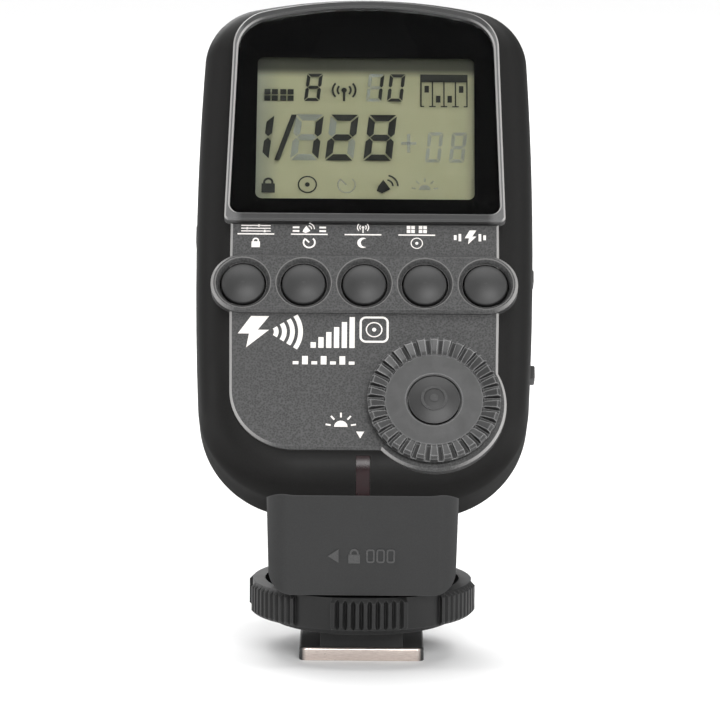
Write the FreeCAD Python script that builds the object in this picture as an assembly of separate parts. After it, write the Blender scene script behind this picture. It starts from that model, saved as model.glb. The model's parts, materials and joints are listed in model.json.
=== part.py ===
import FreeCAD, Part
import math
import os

from FreeCAD import Placement, Rotation, Vector

# Wireless flash trigger.  Millimetres.  Origin at the centre of the foot plate's underside, +Z up,
# -Y towards the person who reads the display, +X to that person's right.
#
# The case leans back over its foot, so its pieces are drawn in a frame of their own, called the face
# frame: x across, y up the face, z straight out of the face, with z = 0 on the face plate's surface.

# ---- driving dimensions: case, in the face frame -----------------------------------------------------
LEAN = 32.5                # degrees that the face leans back from upright
FACE_Y = -16.5             # where the lower edge of the face plate sits
FACE_Z = 33.3
HALF_WIDTH = 25.4          # case, at its widest
WIDEST_Y = 38.0
TOP = 77.3
TOP_CORNER = (24.35, 73.4)     # where the side arc meets the top arc, before it is rounded
LOW_HALF = 23.3                # half width at the foot of the side arcs
LOW_END = -9.0
UNDERSIDE_Y = -7.0             # where the sloping underside would meet the face plane
UNDERSIDE_SLOPE = 10.85        # degrees; the underside rises towards the back
TOP_ROUND = 9.5
LOW_ROUND = 15.0
FRONT = -0.6               # front skin of the case
BACK = -24.0
FRONT_ROUND = 5.2
BACK_ROUND = 8.5
PARTING = -8.5             # joint plane between the two case halves
WALL = 1.6
INNER_FRONT = FRONT - WALL
SEAT = -1.4                # depth to which the inlays are let into the front skin
SLIP = 0.2                 # gap round a loose lid

# ---- face plate, hood, bar and buttons ---------------------------------------------------------------
PLATE_HALF_LOW = 19.6
PLATE_HALF_HIGH = 20.1
PLATE_ROUND = 9.5
EDGE_CHAMFER = 0.35
HOOD_LOW = 36.8
HOOD_TOP = 74.4
HOOD_HALF_LOW = 21.1
HOOD_HALF_HIGH = 20.15
HOOD_SAG = 3.2
HOOD_ROUND = 6.2
HOOD_RISE = 0.9
HOOD_RIM = 0.75
HOOD_BROW = 1.2            # rim at the top of the window
HOOD_SILL = 1.3            # rim at its lower edge
WINDOW_BACK = -0.45
WINDOW_FRONT = 0.45
VIEW_HALF = 16.5           # visible part of the display
VIEW_LOW = 40.9
VIEW_HIGH = 65.0
LCD_HALF = 18.0
LCD_LOW = 39.4
LCD_HIGH = 66.8
LCD_FRONT = -1.3
LCD_BACK = -2.9
GUIDE_BACK = -4.5
BAR_HALF = 22.9
BAR_HEIGHT = 9.5
BAR_Y = 26.5
BAR_RISE = 0.8
BUTTON_PITCH = 9.04
BUTTON_NAMES = ("mode_button", "buzzer_button", "channel_button", "group_button", "test_button")
CAP_R = 3.25
CAP_HOLE_R = 3.5
BORE_RIM_R = 4.12
CAP_TOP = 1.2
CAP_DOME = 0.85            # how far a cap's crown stands above its edge
FLANGE_R = 3.9
KEY_GAP = 0.6              # between a stem and its switch: more than the button's travel

# ---- dial --------------------------------------------------------------------------------------------
DIAL_X = 10.37
DIAL_Y = 7.35
BOSS_R = 10.7
BOSS_LOW = -3.0
DIAL_R = 9.8
DIAL_DISC_R = 7.16
DIAL_RIBS = 30
DIAL_LOW = 0.25
DIAL_CREST = 2.4
DIAL_DISC = 1.45
SET_HOLE_R = 4.0
SET_CAP_R = 3.75
HUB_R = 5.95
HUB_HOLE_R = 6.25
HUB_LOW = -3.2
SLEEVE_R = 3.7
RUNNING = 0.05             # radial clearance of a turning or sliding fit

# ---- inside ------------------------------------------------------------------------------------------
BOARD_FRONT = -5.4
BOARD_BACK = -6.4
CELL_R = 7.25
CELL_LENGTH = 50.5
CELL_X = 7.6
BAY_HALF = 15.9
BAY_LOW = 12.6
BAY_HIGH = 65.0
BAY_FLOOR = -7.7
BAY_WALL = 1.0
DOOR_INNER = -22.4
HINGE_Y = 67.9
HINGE_Z = -22.55
KNUCKLE_R = 1.4
DOOR_LIP = 0.4             # how far the door reaches past the bay at its hinge end
DOOR_SWING = 0.5           # gap above the door, so that its edge clears the shell as it opens
LEAF_INNER = 6.0           # hinge leaves of the door, from inner to outer x
LEAF_OUTER = 12.0
DOOR_PIN_HALF = 14.0
DOOR_PIN_R = 0.6
DOOR_GRIPS = 5
CASE_SCREWS = ((20.6, 66.6), (-20.6, 66.6), (19.0, 4.0), (-19.0, 4.0))
POST_R = 2.2
REAR_POST_R = 2.4
LIP_THICKNESS = 0.8        # rib that locates the two case halves on each other
LIP_HEIGHT = 1.5
CASE_SCREW_R = 0.9
CASE_HEAD_R = 1.85
CASE_SEAT_Z = -15.0        # under the heads of the case screws
BOARD_SCREW_R = 0.7
BOARD_SCREWS = ((16.0, 34.4), (-16.0, 34.4), (-15.0, 8.0), (0.0, 15.5))
POWER_Y = 33.3
BEAM_Y = 17.35
KNOB_Z = -12.0
KNOB_TRAVEL = 3.0
PORT_FLOOR_X = -23.9
PORT_LOW = 11.7
PORT_HIGH = 41.5
PORT_FRONT = -9.6
PORT_BACK = -16.8
FLAP_X = -24.0             # pivot of the rubber strip
FLAP_Y = 12.8
FLAP_KNUCKLE_R = 0.7
FLAP_PIN_R = 0.3
USB_Y = 31.0
JACK_Y = 21.0
JACK_R = 1.25
SOCKET_TOP = -11.5

# ---- foot, upright -----------------------------------------------------------------------------------
PLATE_X = 18.6
PLATE_DEPTH = 18.0
PLATE_Z = 2.0
NECK_X = 12.4
NECK_DEPTH = 17.0
NECK_TOP = 6.15
THREAD_R = 11.0
RING_R = 17.1
RING_RECESS_R = 16.45
RING_LOW = 6.1
RING_HIGH = 10.95
RING_WELL_R = 14.6
RING_WELL_Z = 8.8
RING_PADS = 6
PAD_HALF_ANGLE = 19.6
PAD_TURN = 3.9
PAD_GROOVES = 9
GROOVE_DEPTH = 0.5
GROOVE_HALF = 0.63         # half width of a groove, 0.3 outside the ring
CLAMP_Z = 4.85
HOUSING_FRONT = -15.8
HOUSING_BACK = 9.0
HOUSING_LOW = 11.3
HOUSING_HIGH = 30.0
HOUSING_HALF_LOW = 13.75
HOUSING_HALF_HIGH = 14.3
HOUSING_CORNER = 3.5
ARROW = (-5.1, -3.5, 17.2)     # tip x, tail x and height of the raised arrow beside the lock mark
BEAM_Z = 18.2              # focus-assist lamp and its window, on the far side
BEAM_HALF_WIDTH = 6.0
BEAM_HALF_HEIGHT = 2.6
FOOT_SCREW_R = 1.0
FOOT_SCREW_TOP = 14.5
FOOT_SCREWS = ((4.4, 6.5), (-4.4, 6.5), (4.4, -6.5), (-4.4, -6.5))
SEAT_HEAD_Z = 22.0         # where the heads of the housing screws sit, inside the case
HOUSING_SCREWS = ((8.5, -1.0), (-8.5, -1.0))
CONTACTS = ((0.0, 0.0), (-2.6, 3.2), (2.6, 3.2), (0.0, -3.2))
CONTACT_R = 0.75
LOCK_PIN_Y = 6.9
LOCK_PIN_R = 1.0
LOCK_PIN_TOP = 14.6

FACE = Placement(Vector(0, FACE_Y, FACE_Z), Rotation(Vector(1, 0, 0), 90 - LEAN))
UP = Vector(0, 0, 1)
ACROSS = Vector(1, 0, 0)
TINY = 1e-4


# ---- helpers -----------------------------------------------------------------------------------------
def box(x0, x1, y0, y1, z0, z1):
    return Part.makeBox(x1 - x0, y1 - y0, z1 - z0, Vector(x0, y0, z0))


def disc(r, z0, z1, x=0.0, y=0.0):
    return Part.makeCylinder(r, z1 - z0, Vector(x, y, z0), UP)


def rod_x(r, x0, x1, y, z):
    return Part.makeCylinder(r, x1 - x0, Vector(x0, y, z), ACROSS)


def tube(outer, inner, z0, z1, x=0.0, y=0.0):
    return disc(outer, z0, z1, x, y).cut(disc(inner, z0 - 1, z1 + 1, x, y))


def prism(wire, z0, z1):
    lifted = wire.copy()
    lifted.translate(Vector(0, 0, z0))
    return Part.Face(lifted).extrude(Vector(0, 0, z1 - z0))


def turned(profile, x=0.0, y=0.0):
    """Solid of revolution about the z line through x, y; the profile is (radius, z) points."""
    points = [Vector(r, 0, z) for r, z in profile]
    face = Part.Face(Part.makePolygon(points + points[:1]))
    solid = face.revolve(Vector(0, 0, 0), UP, 360)
    solid.translate(Vector(x, y, 0))
    return solid


def upright_edges(shape):
    return [e for e in shape.Edges
            if len(e.Vertexes) == 2
            and math.hypot(e.Vertexes[0].X - e.Vertexes[1].X, e.Vertexes[0].Y - e.Vertexes[1].Y) < TINY]


def level_edges(shape, z):
    return [e for e in shape.Edges if abs(e.BoundBox.ZMin - z) < TINY and abs(e.BoundBox.ZMax - z) < TINY]


def fuse_all(shapes):
    return shapes[0].multiFuse(shapes[1:]).removeSplitter()


def cut_all(shape, tools):
    return shape.cut(Part.Compound(tools)) if len(tools) > 1 else shape.cut(tools[0])


def group(solids):
    return Part.Compound(solids)


def in_case_frame(shape):
    """A piece drawn in the face frame, put where it belongs on the object."""
    placed = shape.copy()
    placed.Placement = FACE.multiply(placed.Placement)
    return placed


def into_case_frame(shape):
    """A piece drawn upright, as the face frame sees it."""
    placed = shape.copy()
    placed.Placement = FACE.inverse().multiply(placed.Placement)
    return placed


# ---- case outline ------------------------------------------------------------------------------------
def case_wire():
    """Bowed sides and an arched top; the straight lower edge is cut off by the underside."""
    def bow(start, middle, end):
        return Part.Arc(Vector(*start, 0), Vector(*middle, 0), Vector(*end, 0)).toShape()

    x, y = TOP_CORNER
    return Part.Wire([
        Part.LineSegment(Vector(-LOW_HALF, LOW_END, 0), Vector(LOW_HALF, LOW_END, 0)).toShape(),
        bow((LOW_HALF, LOW_END), (HALF_WIDTH, WIDEST_Y), (x, y)),
        bow((x, y), (0, TOP), (-x, y)),
        bow((-x, y), (-HALF_WIDTH, WIDEST_Y), (-LOW_HALF, LOW_END)),
    ])


def below_underside(inset):
    """Everything under the sloping underside, which is moved inwards by inset."""
    block = box(-60, 60, -60, inset, -60, 60)
    block.rotate(Vector(0, 0, 0), ACROSS, UNDERSIDE_SLOPE)
    block.translate(Vector(0, UNDERSIDE_Y, 0))
    return block


def rounded_prism(wire, z0, z1, split_y, low_round, high_round):
    solid = prism(wire, z0, z1)
    low = [e for e in upright_edges(solid) if e.Vertexes[0].Y < split_y]
    solid = solid.makeFillet(low_round, low)
    high = [e for e in upright_edges(solid) if e.Vertexes[0].Y > split_y]
    return solid.makeFillet(high_round, high)


def case_solid(inset):
    """The whole case, filled, moved inwards by inset on every side."""
    wire = case_wire()
    if inset:
        wire = wire.makeOffset2D(-inset, 2)
    low = BACK + inset
    high = FRONT - inset
    solid = prism(wire, low, high)
    shoulders = [e for e in upright_edges(solid) if e.Vertexes[0].Y > WIDEST_Y]
    solid = solid.makeFillet(TOP_ROUND - inset, shoulders)
    solid = solid.cut(below_underside(inset))
    corners = [e for e in solid.Edges if e.BoundBox.ZLength > high - low - TINY and e.BoundBox.YMin < 0]
    solid = solid.makeFillet(LOW_ROUND - inset, corners)
    solid = solid.makeFillet(FRONT_ROUND - inset, level_edges(solid, high))
    return solid.makeFillet(BACK_ROUND - inset, level_edges(solid, low))


def hood_wire(rim, sill, brow):
    low = HOOD_LOW + sill
    top = HOOD_TOP - brow
    corner = top - HOOD_SAG
    wide = HOOD_HALF_LOW - rim
    narrow = HOOD_HALF_HIGH - rim
    points = [Vector(-narrow, corner, 0), Vector(-wide, low, 0),
              Vector(wide, low, 0), Vector(narrow, corner, 0)]
    edges = [Part.LineSegment(a, b).toShape() for a, b in zip(points, points[1:])]
    edges.append(Part.Arc(points[-1], Vector(0, top, 0), points[0]).toShape())
    return Part.Wire(edges)


def hood_prism(z0, z1):
    return rounded_prism(hood_wire(0, 0, 0), z0, z1, HOOD_TOP - 20, 0.8, HOOD_ROUND)


def window_prism(z0, z1, gap=0.0):
    """Space inside the hood's rim, or the window that fills it with a gap all round."""
    wire = hood_wire(HOOD_RIM + gap, HOOD_SILL + gap, HOOD_BROW + gap)
    return rounded_prism(wire, z0, z1, HOOD_TOP - 20, 1.5 - gap, HOOD_ROUND - HOOD_RIM - gap)


def plate_prism(z0, z1):
    """Outline of the face plate: panel and round boss under the dial."""
    points = [Vector(-PLATE_HALF_HIGH, HOOD_LOW, 0), Vector(-PLATE_HALF_HIGH, BAR_Y, 0),
              Vector(-PLATE_HALF_LOW, 0, 0), Vector(PLATE_HALF_LOW, 0, 0),
              Vector(PLATE_HALF_HIGH, BAR_Y, 0), Vector(PLATE_HALF_HIGH, HOOD_LOW, 0)]
    panel = prism(Part.makePolygon(points + points[:1]), z0, z1)
    low = [e for e in upright_edges(panel) if abs(e.Vertexes[0].Y) < TINY]
    panel = panel.makeFillet(PLATE_ROUND, low)
    return fuse_all([panel, disc(BOSS_R, z0, z1, DIAL_X, DIAL_Y)])


def bar_prism(z0, z1):
    r = BAR_HEIGHT / 2
    end = BAR_HALF - r
    return fuse_all([box(-end, end, BAR_Y - r, BAR_Y + r, z0, z1),
                     disc(r, z0, z1, -end, BAR_Y), disc(r, z0, z1, end, BAR_Y)])


def button_places():
    middle = (len(BUTTON_NAMES) - 1) / 2
    return [(i - middle) * BUTTON_PITCH for i in range(len(BUTTON_NAMES))]


def chamfered_top(solid, z, size=EDGE_CHAMFER):
    return solid.makeChamfer(size, level_edges(solid, z))


# ---- case pieces -------------------------------------------------------------------------------------
def inlay_pocket():
    return fuse_all([plate_prism(SEAT, 3), bar_prism(SEAT, 3), hood_prism(SEAT, 3)])


def lens_slot():
    return box(-1.075, 1.075, -9, -0.8, -7.4, 1)


def front_shell():
    above = box(-40, 40, -20, 90, PARTING, 5)
    shell = case_solid(0).cut(case_solid(WALL)).common(above)
    boss = disc(BOSS_R, BOSS_LOW, SEAT, DIAL_X, DIAL_Y)
    boss = boss.cut(disc(BOSS_R - WALL, BOSS_LOW - 1, INNER_FRONT, DIAL_X, DIAL_Y))
    posts = [disc(POST_R, PARTING, INNER_FRONT + 0.2, x, y) for x, y in CASE_SCREWS]
    posts += [disc(1.5, BOARD_FRONT, INNER_FRONT + 0.2, x, y) for x, y in BOARD_SCREWS]
    posts = [p.common(case_solid(WALL / 2)) for p in posts]
    shell = fuse_all([shell, boss] + posts)
    holes = [disc(CAP_HOLE_R, -6, 3, x, BAR_Y) for x in button_places()]
    holes += [disc(FLANGE_R + 0.3, -6, INNER_FRONT, x, BAR_Y) for x in button_places()]
    holes.append(disc(HUB_HOLE_R, -6, 3, DIAL_X, DIAL_Y))
    holes.append(display_slab(-4, 3, grow=0.4))
    holes += [disc(CASE_SCREW_R, PARTING - 1, -3.8, x, y) for x, y in CASE_SCREWS]
    holes += [disc(BOARD_SCREW_R, BOARD_FRONT - 1, -2.6, x, y) for x, y in BOARD_SCREWS]
    holes.append(lens_slot())
    return cut_all(shell.cut(inlay_pocket()), holes)


def port_pocket(gap=SLIP):
    return box(-40, PORT_FLOOR_X, PORT_LOW - gap, PORT_HIGH + gap, PORT_BACK - gap, PORT_FRONT + gap)


def knob_slot(y, reach):
    low = min(y, y + reach) - 1.25
    high = max(y, y + reach) + 1.25
    return box(21, 30, low, high, KNOB_Z - 1.5, KNOB_Z + 1.5)


def rear_shell():
    below = box(-40, 40, -20, 90, -40, PARTING)
    shell = case_solid(0).cut(case_solid(WALL)).common(below)
    lip = case_solid(WALL).cut(case_solid(WALL + LIP_THICKNESS))
    lip = lip.common(box(-40, 40, -20, 90, PARTING - 2, PARTING + LIP_HEIGHT))
    lip = cut_all(lip, [disc(REAR_POST_R + 0.1, -12, 0, x, y) for x, y in CASE_SCREWS] + [lens_slot()])
    wall = BAY_WALL
    tub = box(-BAY_HALF - wall, BAY_HALF + wall, BAY_LOW - wall, BAY_HIGH + wall, BACK + 0.5, BAY_FLOOR + 0.8)
    posts = [disc(REAR_POST_R, BACK, PARTING, x, y) for x, y in CASE_SCREWS]
    well = box(-26, PORT_FLOOR_X + 1.3, PORT_LOW - 1.5, PORT_HIGH + 1.5, PORT_BACK - 1.5, PARTING)
    hinge = box(-DOOR_PIN_HALF - 0.6, DOOR_PIN_HALF + 0.6, BAY_HIGH, HINGE_Y + 3.4, BACK, -20.0)
    shell = fuse_all([shell, lip] + [p.common(case_solid(0)) for p in [tub, well, hinge] + posts])
    holes = [box(-BAY_HALF, BAY_HALF, BAY_LOW, BAY_HIGH, -30, BAY_FLOOR)]
    holes.append(box(-BAY_HALF - wall - SLIP, BAY_HALF + wall + SLIP, BAY_LOW - wall - SLIP,
                     BAY_HIGH + DOOR_LIP + DOOR_SWING, -30, DOOR_INNER + 0.1))
    for side in (-1, 1):
        low, high = sorted((side * (LEAF_INNER - 0.3), side * (LEAF_OUTER + 0.3)))
        holes.append(box(low, high, BAY_HIGH, HINGE_Y + KNUCKLE_R + 0.8, -30, HINGE_Z + KNUCKLE_R + 0.3))
    holes.append(box(-5, 5, BAY_LOW - 3.6, BAY_LOW, -30, BACK + 0.8))
    holes.append(rod_x(DOOR_PIN_R, -DOOR_PIN_HALF, DOOR_PIN_HALF, HINGE_Y, HINGE_Z))
    for x, y in CASE_SCREWS:
        holes.append(disc(CASE_SCREW_R + 0.25, -30, 0, x, y))
        holes.append(disc(CASE_HEAD_R + 0.15, -30, CASE_SEAT_Z, x, y))
    holes.append(port_pocket())
    holes.append(box(-30, -20, USB_Y - 4.6, USB_Y + 4.6, SOCKET_TOP - 3.4, SOCKET_TOP + 0.1))
    holes.append(rod_x(2.5, -30, -20, JACK_Y, SOCKET_TOP - 2.4))
    holes.append(disc(FLAP_KNUCKLE_R + 0.25, PORT_BACK - SLIP, PORT_FRONT + SLIP, FLAP_X, FLAP_Y))
    holes.append(disc(FLAP_PIN_R, PORT_BACK - 1.2, PORT_FRONT + 1.2, FLAP_X, FLAP_Y))
    holes.append(knob_slot(POWER_Y, -KNOB_TRAVEL))
    holes.append(knob_slot(BEAM_Y, KNOB_TRAVEL))
    for x, y in HOUSING_SCREWS:
        holes.append(into_case_frame(disc(0.9, 10, 30, x, y)))
        holes.append(into_case_frame(disc(2.0, SEAT_HEAD_Z, 28, x, y)))
    return cut_all(shell, holes)


def face_plate():
    plate = chamfered_top(plate_prism(SEAT, 0), 0)
    holes = [disc(CAP_HOLE_R, -3, 3, x, BAR_Y) for x in button_places()]
    holes.append(disc(HUB_HOLE_R, -3, 3, DIAL_X, DIAL_Y))
    return cut_all(plate, holes)


def display_hood():
    ring = hood_prism(SEAT, HOOD_RISE).cut(window_prism(-3, 3))
    return chamfered_top(ring, HOOD_RISE, 0.25)


def display_window():
    return window_prism(WINDOW_BACK, WINDOW_FRONT, RUNNING)


def window_mask():
    film = window_prism(FRONT, WINDOW_BACK, RUNNING)
    view = box(-VIEW_HALF, VIEW_HALF, VIEW_LOW, VIEW_HIGH, -3, 3)
    return film.cut(view.makeFillet(1.0, upright_edges(view)))


def display_slab(z0, z1, grow=0.0):
    return box(-LCD_HALF - grow, LCD_HALF + grow, LCD_LOW - grow, LCD_HIGH + grow, z0, z1)


def lcd_panel():
    return display_slab(LCD_BACK, LCD_FRONT)


def backlight():
    guide = display_slab(GUIDE_BACK, LCD_BACK)
    return guide.makeChamfer(0.4, upright_edges(guide))


def display_holder():
    frame = display_slab(BOARD_FRONT, INNER_FRONT, grow=1.3)
    holes = [display_slab(GUIDE_BACK, 0), display_slab(BOARD_FRONT - 1, 0, grow=-3.8)]
    holes += [disc(POST_R + 0.1, -7, 0, x, y) for x, y in CASE_SCREWS]
    return cut_all(frame, holes)


def button_bar():
    bar = chamfered_top(bar_prism(SEAT, BAR_RISE), BAR_RISE, 0.4).cut(plate_prism(SEAT - 1, 0))
    holes = []
    for x in button_places():
        holes.append(disc(CAP_HOLE_R, -3, 3, x, BAR_Y))
        holes.append(Part.makeCone(CAP_HOLE_R, BORE_RIM_R, 0.9, Vector(x, BAR_Y, BAR_RISE - 0.9), UP))
    return cut_all(bar, holes)


def push_button(x):
    """Domed cap with a retaining flange and a stem that ends just above its switch."""
    flange_top = INNER_FRONT - 0.1
    stem_low = BOARD_FRONT + 1.5 + KEY_GAP
    shoulder = CAP_TOP - CAP_DOME + 0.1
    cap = turned([(0, flange_top - 0.6), (FLANGE_R, flange_top - 0.6), (FLANGE_R, flange_top),
                  (CAP_R, flange_top), (CAP_R, shoulder - 0.1), (0, shoulder - 0.1)], x, BAR_Y)
    dome_r = (CAP_R ** 2 + CAP_DOME ** 2) / (2 * CAP_DOME)
    ball = Part.makeSphere(dome_r, Vector(x, BAR_Y, CAP_TOP - dome_r))
    dome = ball.common(disc(CAP_R, shoulder - 0.5, CAP_TOP + 1, x, BAR_Y))
    cap = fuse_all([cap, dome, disc(1.5, stem_low, flange_top - 0.5, x, BAR_Y)])
    rim = [e for e in level_edges(cap, CAP_TOP - CAP_DOME) if e.BoundBox.XLength > CAP_R]
    return cap.makeFillet(0.35, rim)


def rib_gap(i, floor):
    """Space between two ribs of the dial, a little narrower at the rim than at the disc."""
    pitch = math.radians(360 / DIAL_RIBS)
    corners = []
    inner = DIAL_DISC_R - 0.1
    outer = DIAL_R + 1
    for r, share in ((inner, -0.46), (outer, -0.36), (outer, 0.36), (inner, 0.46)):
        a = (i + share / 2) * pitch
        corners.append(Vector(DIAL_X + r * math.cos(a), DIAL_Y + r * math.sin(a), 0))
    return prism(Part.makePolygon(corners + corners[:1]), floor, 4)


def dial():
    """Thumb wheel: flat disc, raised ring of ribs and a hub that reaches through the face."""
    floor = 1.15
    body = turned([(SET_HOLE_R, DIAL_LOW), (HUB_R, DIAL_LOW), (DIAL_R - 0.5, DIAL_LOW), (DIAL_R - 0.15, 0.6),
                   (DIAL_R - 0.15, floor), (DIAL_DISC_R + 0.25, floor), (DIAL_DISC_R, DIAL_DISC),
                   (SET_HOLE_R + 0.2, DIAL_DISC), (SET_HOLE_R, DIAL_DISC - 0.2)], DIAL_X, DIAL_Y)
    hub = tube(HUB_R, SLEEVE_R + RUNNING, HUB_LOW, 0.3, DIAL_X, DIAL_Y)
    crown = turned([(DIAL_DISC_R, floor - 0.4), (DIAL_R - 0.1, floor - 0.4), (DIAL_R, 0.9), (DIAL_R, 2.0),
                    (DIAL_R - 0.45, DIAL_CREST), (DIAL_DISC_R + 0.55, 1.95),
                    (DIAL_DISC_R + 0.1, DIAL_DISC + 0.1)], DIAL_X, DIAL_Y)
    return fuse_all([body, hub, cut_all(crown, [rib_gap(i, floor) for i in range(DIAL_RIBS)])])


def dial_clip():
    return tube(6.9, HUB_R, HUB_LOW, HUB_LOW + 0.6, DIAL_X, DIAL_Y)


def set_button():
    low = DIAL_LOW + 0.45
    top = 2.1
    cap = turned([(0, low), (SET_CAP_R, low), (SET_CAP_R, 1.45), (0, 1.45)], DIAL_X, DIAL_Y)
    rise = top - 1.35
    dome_r = (SET_CAP_R ** 2 + rise ** 2) / (2 * rise)
    ball = Part.makeSphere(dome_r, Vector(DIAL_X, DIAL_Y, top - dome_r))
    cap = cap.common(ball)
    crown = ball.common(disc(SET_CAP_R, 1.3, 4, DIAL_X, DIAL_Y))
    stem = disc(2.1, BOARD_FRONT + 1.5 + KEY_GAP, low + 0.1, DIAL_X, DIAL_Y)
    return fuse_all([cap, crown, stem])


def encoder():
    return turned([(2.2, -3.6), (3.3, -3.6), (3.3, BOARD_FRONT), (7.0, BOARD_FRONT), (7.0, -3.6),
                   (SLEEVE_R, -3.6), (SLEEVE_R, -0.1), (2.2, -0.1)], DIAL_X, DIAL_Y)


def status_lens():
    slot = box(-1.0, 1.0, -9, -0.85, -4.4, 1)
    return case_solid(0).cut(case_solid(2.6)).common(slot)


def status_led():
    return box(-1.0, 1.0, -1.9, -0.3, BOARD_FRONT, BOARD_FRONT + 0.8)


# ---- inner pieces ------------------------------------------------------------------------------------
def main_board():
    board = box(-18.0, 18.0, -2.5, 68.0, BOARD_BACK, BOARD_FRONT)
    board = board.makeFillet(2.0, upright_edges(board)).common(case_solid(WALL + 0.4))
    holes = [disc(REAR_POST_R + 0.2, -9, 0, x, y) for x, y in CASE_SCREWS]
    holes += [disc(BOARD_SCREW_R + 0.1, -9, 0, x, y) for x, y in BOARD_SCREWS]
    return cut_all(board, holes)


def key_switches():
    switches = []
    for x, y in [(x, BAR_Y) for x in button_places()] + [(DIAL_X, DIAL_Y)]:
        base = box(x - 2.2, x + 2.2, y - 2.2, y + 2.2, BOARD_FRONT, BOARD_FRONT + 1.0)
        switches.append(fuse_all([base, disc(1.2, BOARD_FRONT + 0.9, BOARD_FRONT + 1.5, x, y)]))
    return group(switches)


def switch_knob(y):
    stem = box(21.3, 25.0, y - 0.9, y + 0.9, KNOB_Z - 1.1, KNOB_Z + 1.1)
    cap = box(24.2, HALF_WIDTH + 0.35, y - 1.05, y + 1.05, KNOB_Z - 1.3, KNOB_Z + 1.3)
    outer = [e for e in cap.Edges if abs(e.BoundBox.XMin - HALF_WIDTH - 0.35) < TINY]
    return fuse_all([stem, cap.makeFillet(0.25, outer)])


def slide_switches():
    return group([box(17.2, 21.1, y + mid - 4.4, y + mid + 4.4, KNOB_Z - 1.8, BOARD_BACK)
                  for y, mid in ((POWER_Y, -KNOB_TRAVEL / 2), (BEAM_Y, KNOB_TRAVEL / 2))])


def radio_module():
    board = box(-11, 11, 71.4, 72.2, -19.4, -8.9)
    can = box(-7, 5, 72.2, 73.8, -17.2, -10.4)
    can = can.makeFillet(0.5, [e for e in can.Edges if abs(e.BoundBox.YMin - 73.8) < TINY])
    return fuse_all([board, can, box(7, 10, 72.2, 72.8, -18, -10)])


def buzzer():
    can = disc(4.4, BOARD_BACK - 4.2, BOARD_BACK, -8.0, 4.2)
    return can.cut(disc(0.8, BOARD_BACK - 5, BOARD_BACK - 3, -8.0, 4.2))


def side_board():
    return box(-22.4, -17.3, 16.0, 37.0, SOCKET_TOP, SOCKET_TOP + 0.8)


def usb_socket():
    middle = SOCKET_TOP - 1.63
    can = box(-23.7, -17.3, USB_Y - 4.47, USB_Y + 4.47, middle - 1.63, middle + 1.63)
    can = can.makeFillet(1.2, [e for e in can.Edges if e.BoundBox.XLength > 6])
    mouth = box(-25, -18.3, USB_Y - 4.15, USB_Y + 4.15, middle - 1.3, middle + 1.3)
    mouth = mouth.makeFillet(1.0, [e for e in mouth.Edges if e.BoundBox.XLength > 6])
    tongue = box(-23.0, -18.0, USB_Y - 3.3, USB_Y + 3.3, middle - 0.35, middle + 0.35)
    return fuse_all([can.cut(mouth), tongue])


def sync_jack():
    middle = SOCKET_TOP - 2.4
    body = fuse_all([box(-22.4, -17.3, JACK_Y - 2.4, JACK_Y + 2.4, SOCKET_TOP - 4.8, SOCKET_TOP),
                     rod_x(2.3, -23.8, -22.3, JACK_Y, middle)])
    return body.cut(rod_x(JACK_R, -25, -17.9, JACK_Y, middle))


def port_cover():
    flap = box(-40, PORT_FLOOR_X - 0.02, FLAP_Y, PORT_HIGH, PORT_BACK, PORT_FRONT)
    flap = flap.common(case_solid(0))
    nub_x = -HALF_WIDTH - 0.3
    nub = box(nub_x, -24.4, PORT_HIGH - 3.4, PORT_HIGH, PORT_BACK + 0.6, PORT_FRONT - 0.6)
    nub = nub.makeFillet(0.5, [e for e in nub.Edges if abs(e.BoundBox.XMax - nub_x) < TINY])
    knuckle = disc(FLAP_KNUCKLE_R, PORT_BACK, PORT_FRONT, FLAP_X, FLAP_Y)
    bore = disc(FLAP_PIN_R + RUNNING, PORT_BACK - 1, PORT_FRONT + 1, FLAP_X, FLAP_Y)
    return fuse_all([flap, nub, knuckle]).cut(bore)


def port_cover_pin():
    return disc(FLAP_PIN_R, PORT_BACK - 1.0, PORT_FRONT + 1.0, FLAP_X, FLAP_Y)


def battery_door():
    edge = BAY_HALF + BAY_WALL
    plate = box(-edge, edge, BAY_LOW - BAY_WALL, BAY_HIGH + DOOR_LIP, BACK, DOOR_INNER)
    leaves = []
    for side in (-1, 1):
        low, high = sorted((side * LEAF_INNER, side * LEAF_OUTER))
        leaves.append(box(low, high, BAY_HIGH, HINGE_Y, BACK, DOOR_INNER))
        leaves.append(rod_x(KNUCKLE_R, low, high, HINGE_Y, HINGE_Z))
    door = fuse_all([plate] + leaves)
    grooves = [rod_x(0.5, -9, 9, BAY_LOW + 2.5 + 1.6 * i, BACK - 0.15) for i in range(DOOR_GRIPS)]
    grooves.append(rod_x(DOOR_PIN_R + RUNNING, -20, 20, HINGE_Y, HINGE_Z))
    return cut_all(door, grooves)


def door_pin():
    return rod_x(DOOR_PIN_R, -DOOR_PIN_HALF, DOOR_PIN_HALF, HINGE_Y, HINGE_Z)


def cell_middle_z():
    return BAY_FLOOR - 0.1 - CELL_R


def battery_cells():
    cells = []
    low = (BAY_LOW + BAY_HIGH - CELL_LENGTH) / 2
    for side in (-1, 1):
        can_low = low if side > 0 else low + 1.0
        can = Part.makeCylinder(CELL_R, CELL_LENGTH - 1.0, Vector(side * CELL_X, can_low, cell_middle_z()),
                                Vector(0, 1, 0))
        can = can.makeChamfer(0.5, [e for e in can.Edges if e.BoundBox.YLength < TINY])
        tip_low = low + CELL_LENGTH - 1.2 if side > 0 else low
        tip = Part.makeCylinder(2.75, 1.2, Vector(side * CELL_X, tip_low, cell_middle_z()), Vector(0, 1, 0))
        cells.append(fuse_all([can, tip]))
    return group(cells)


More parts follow.
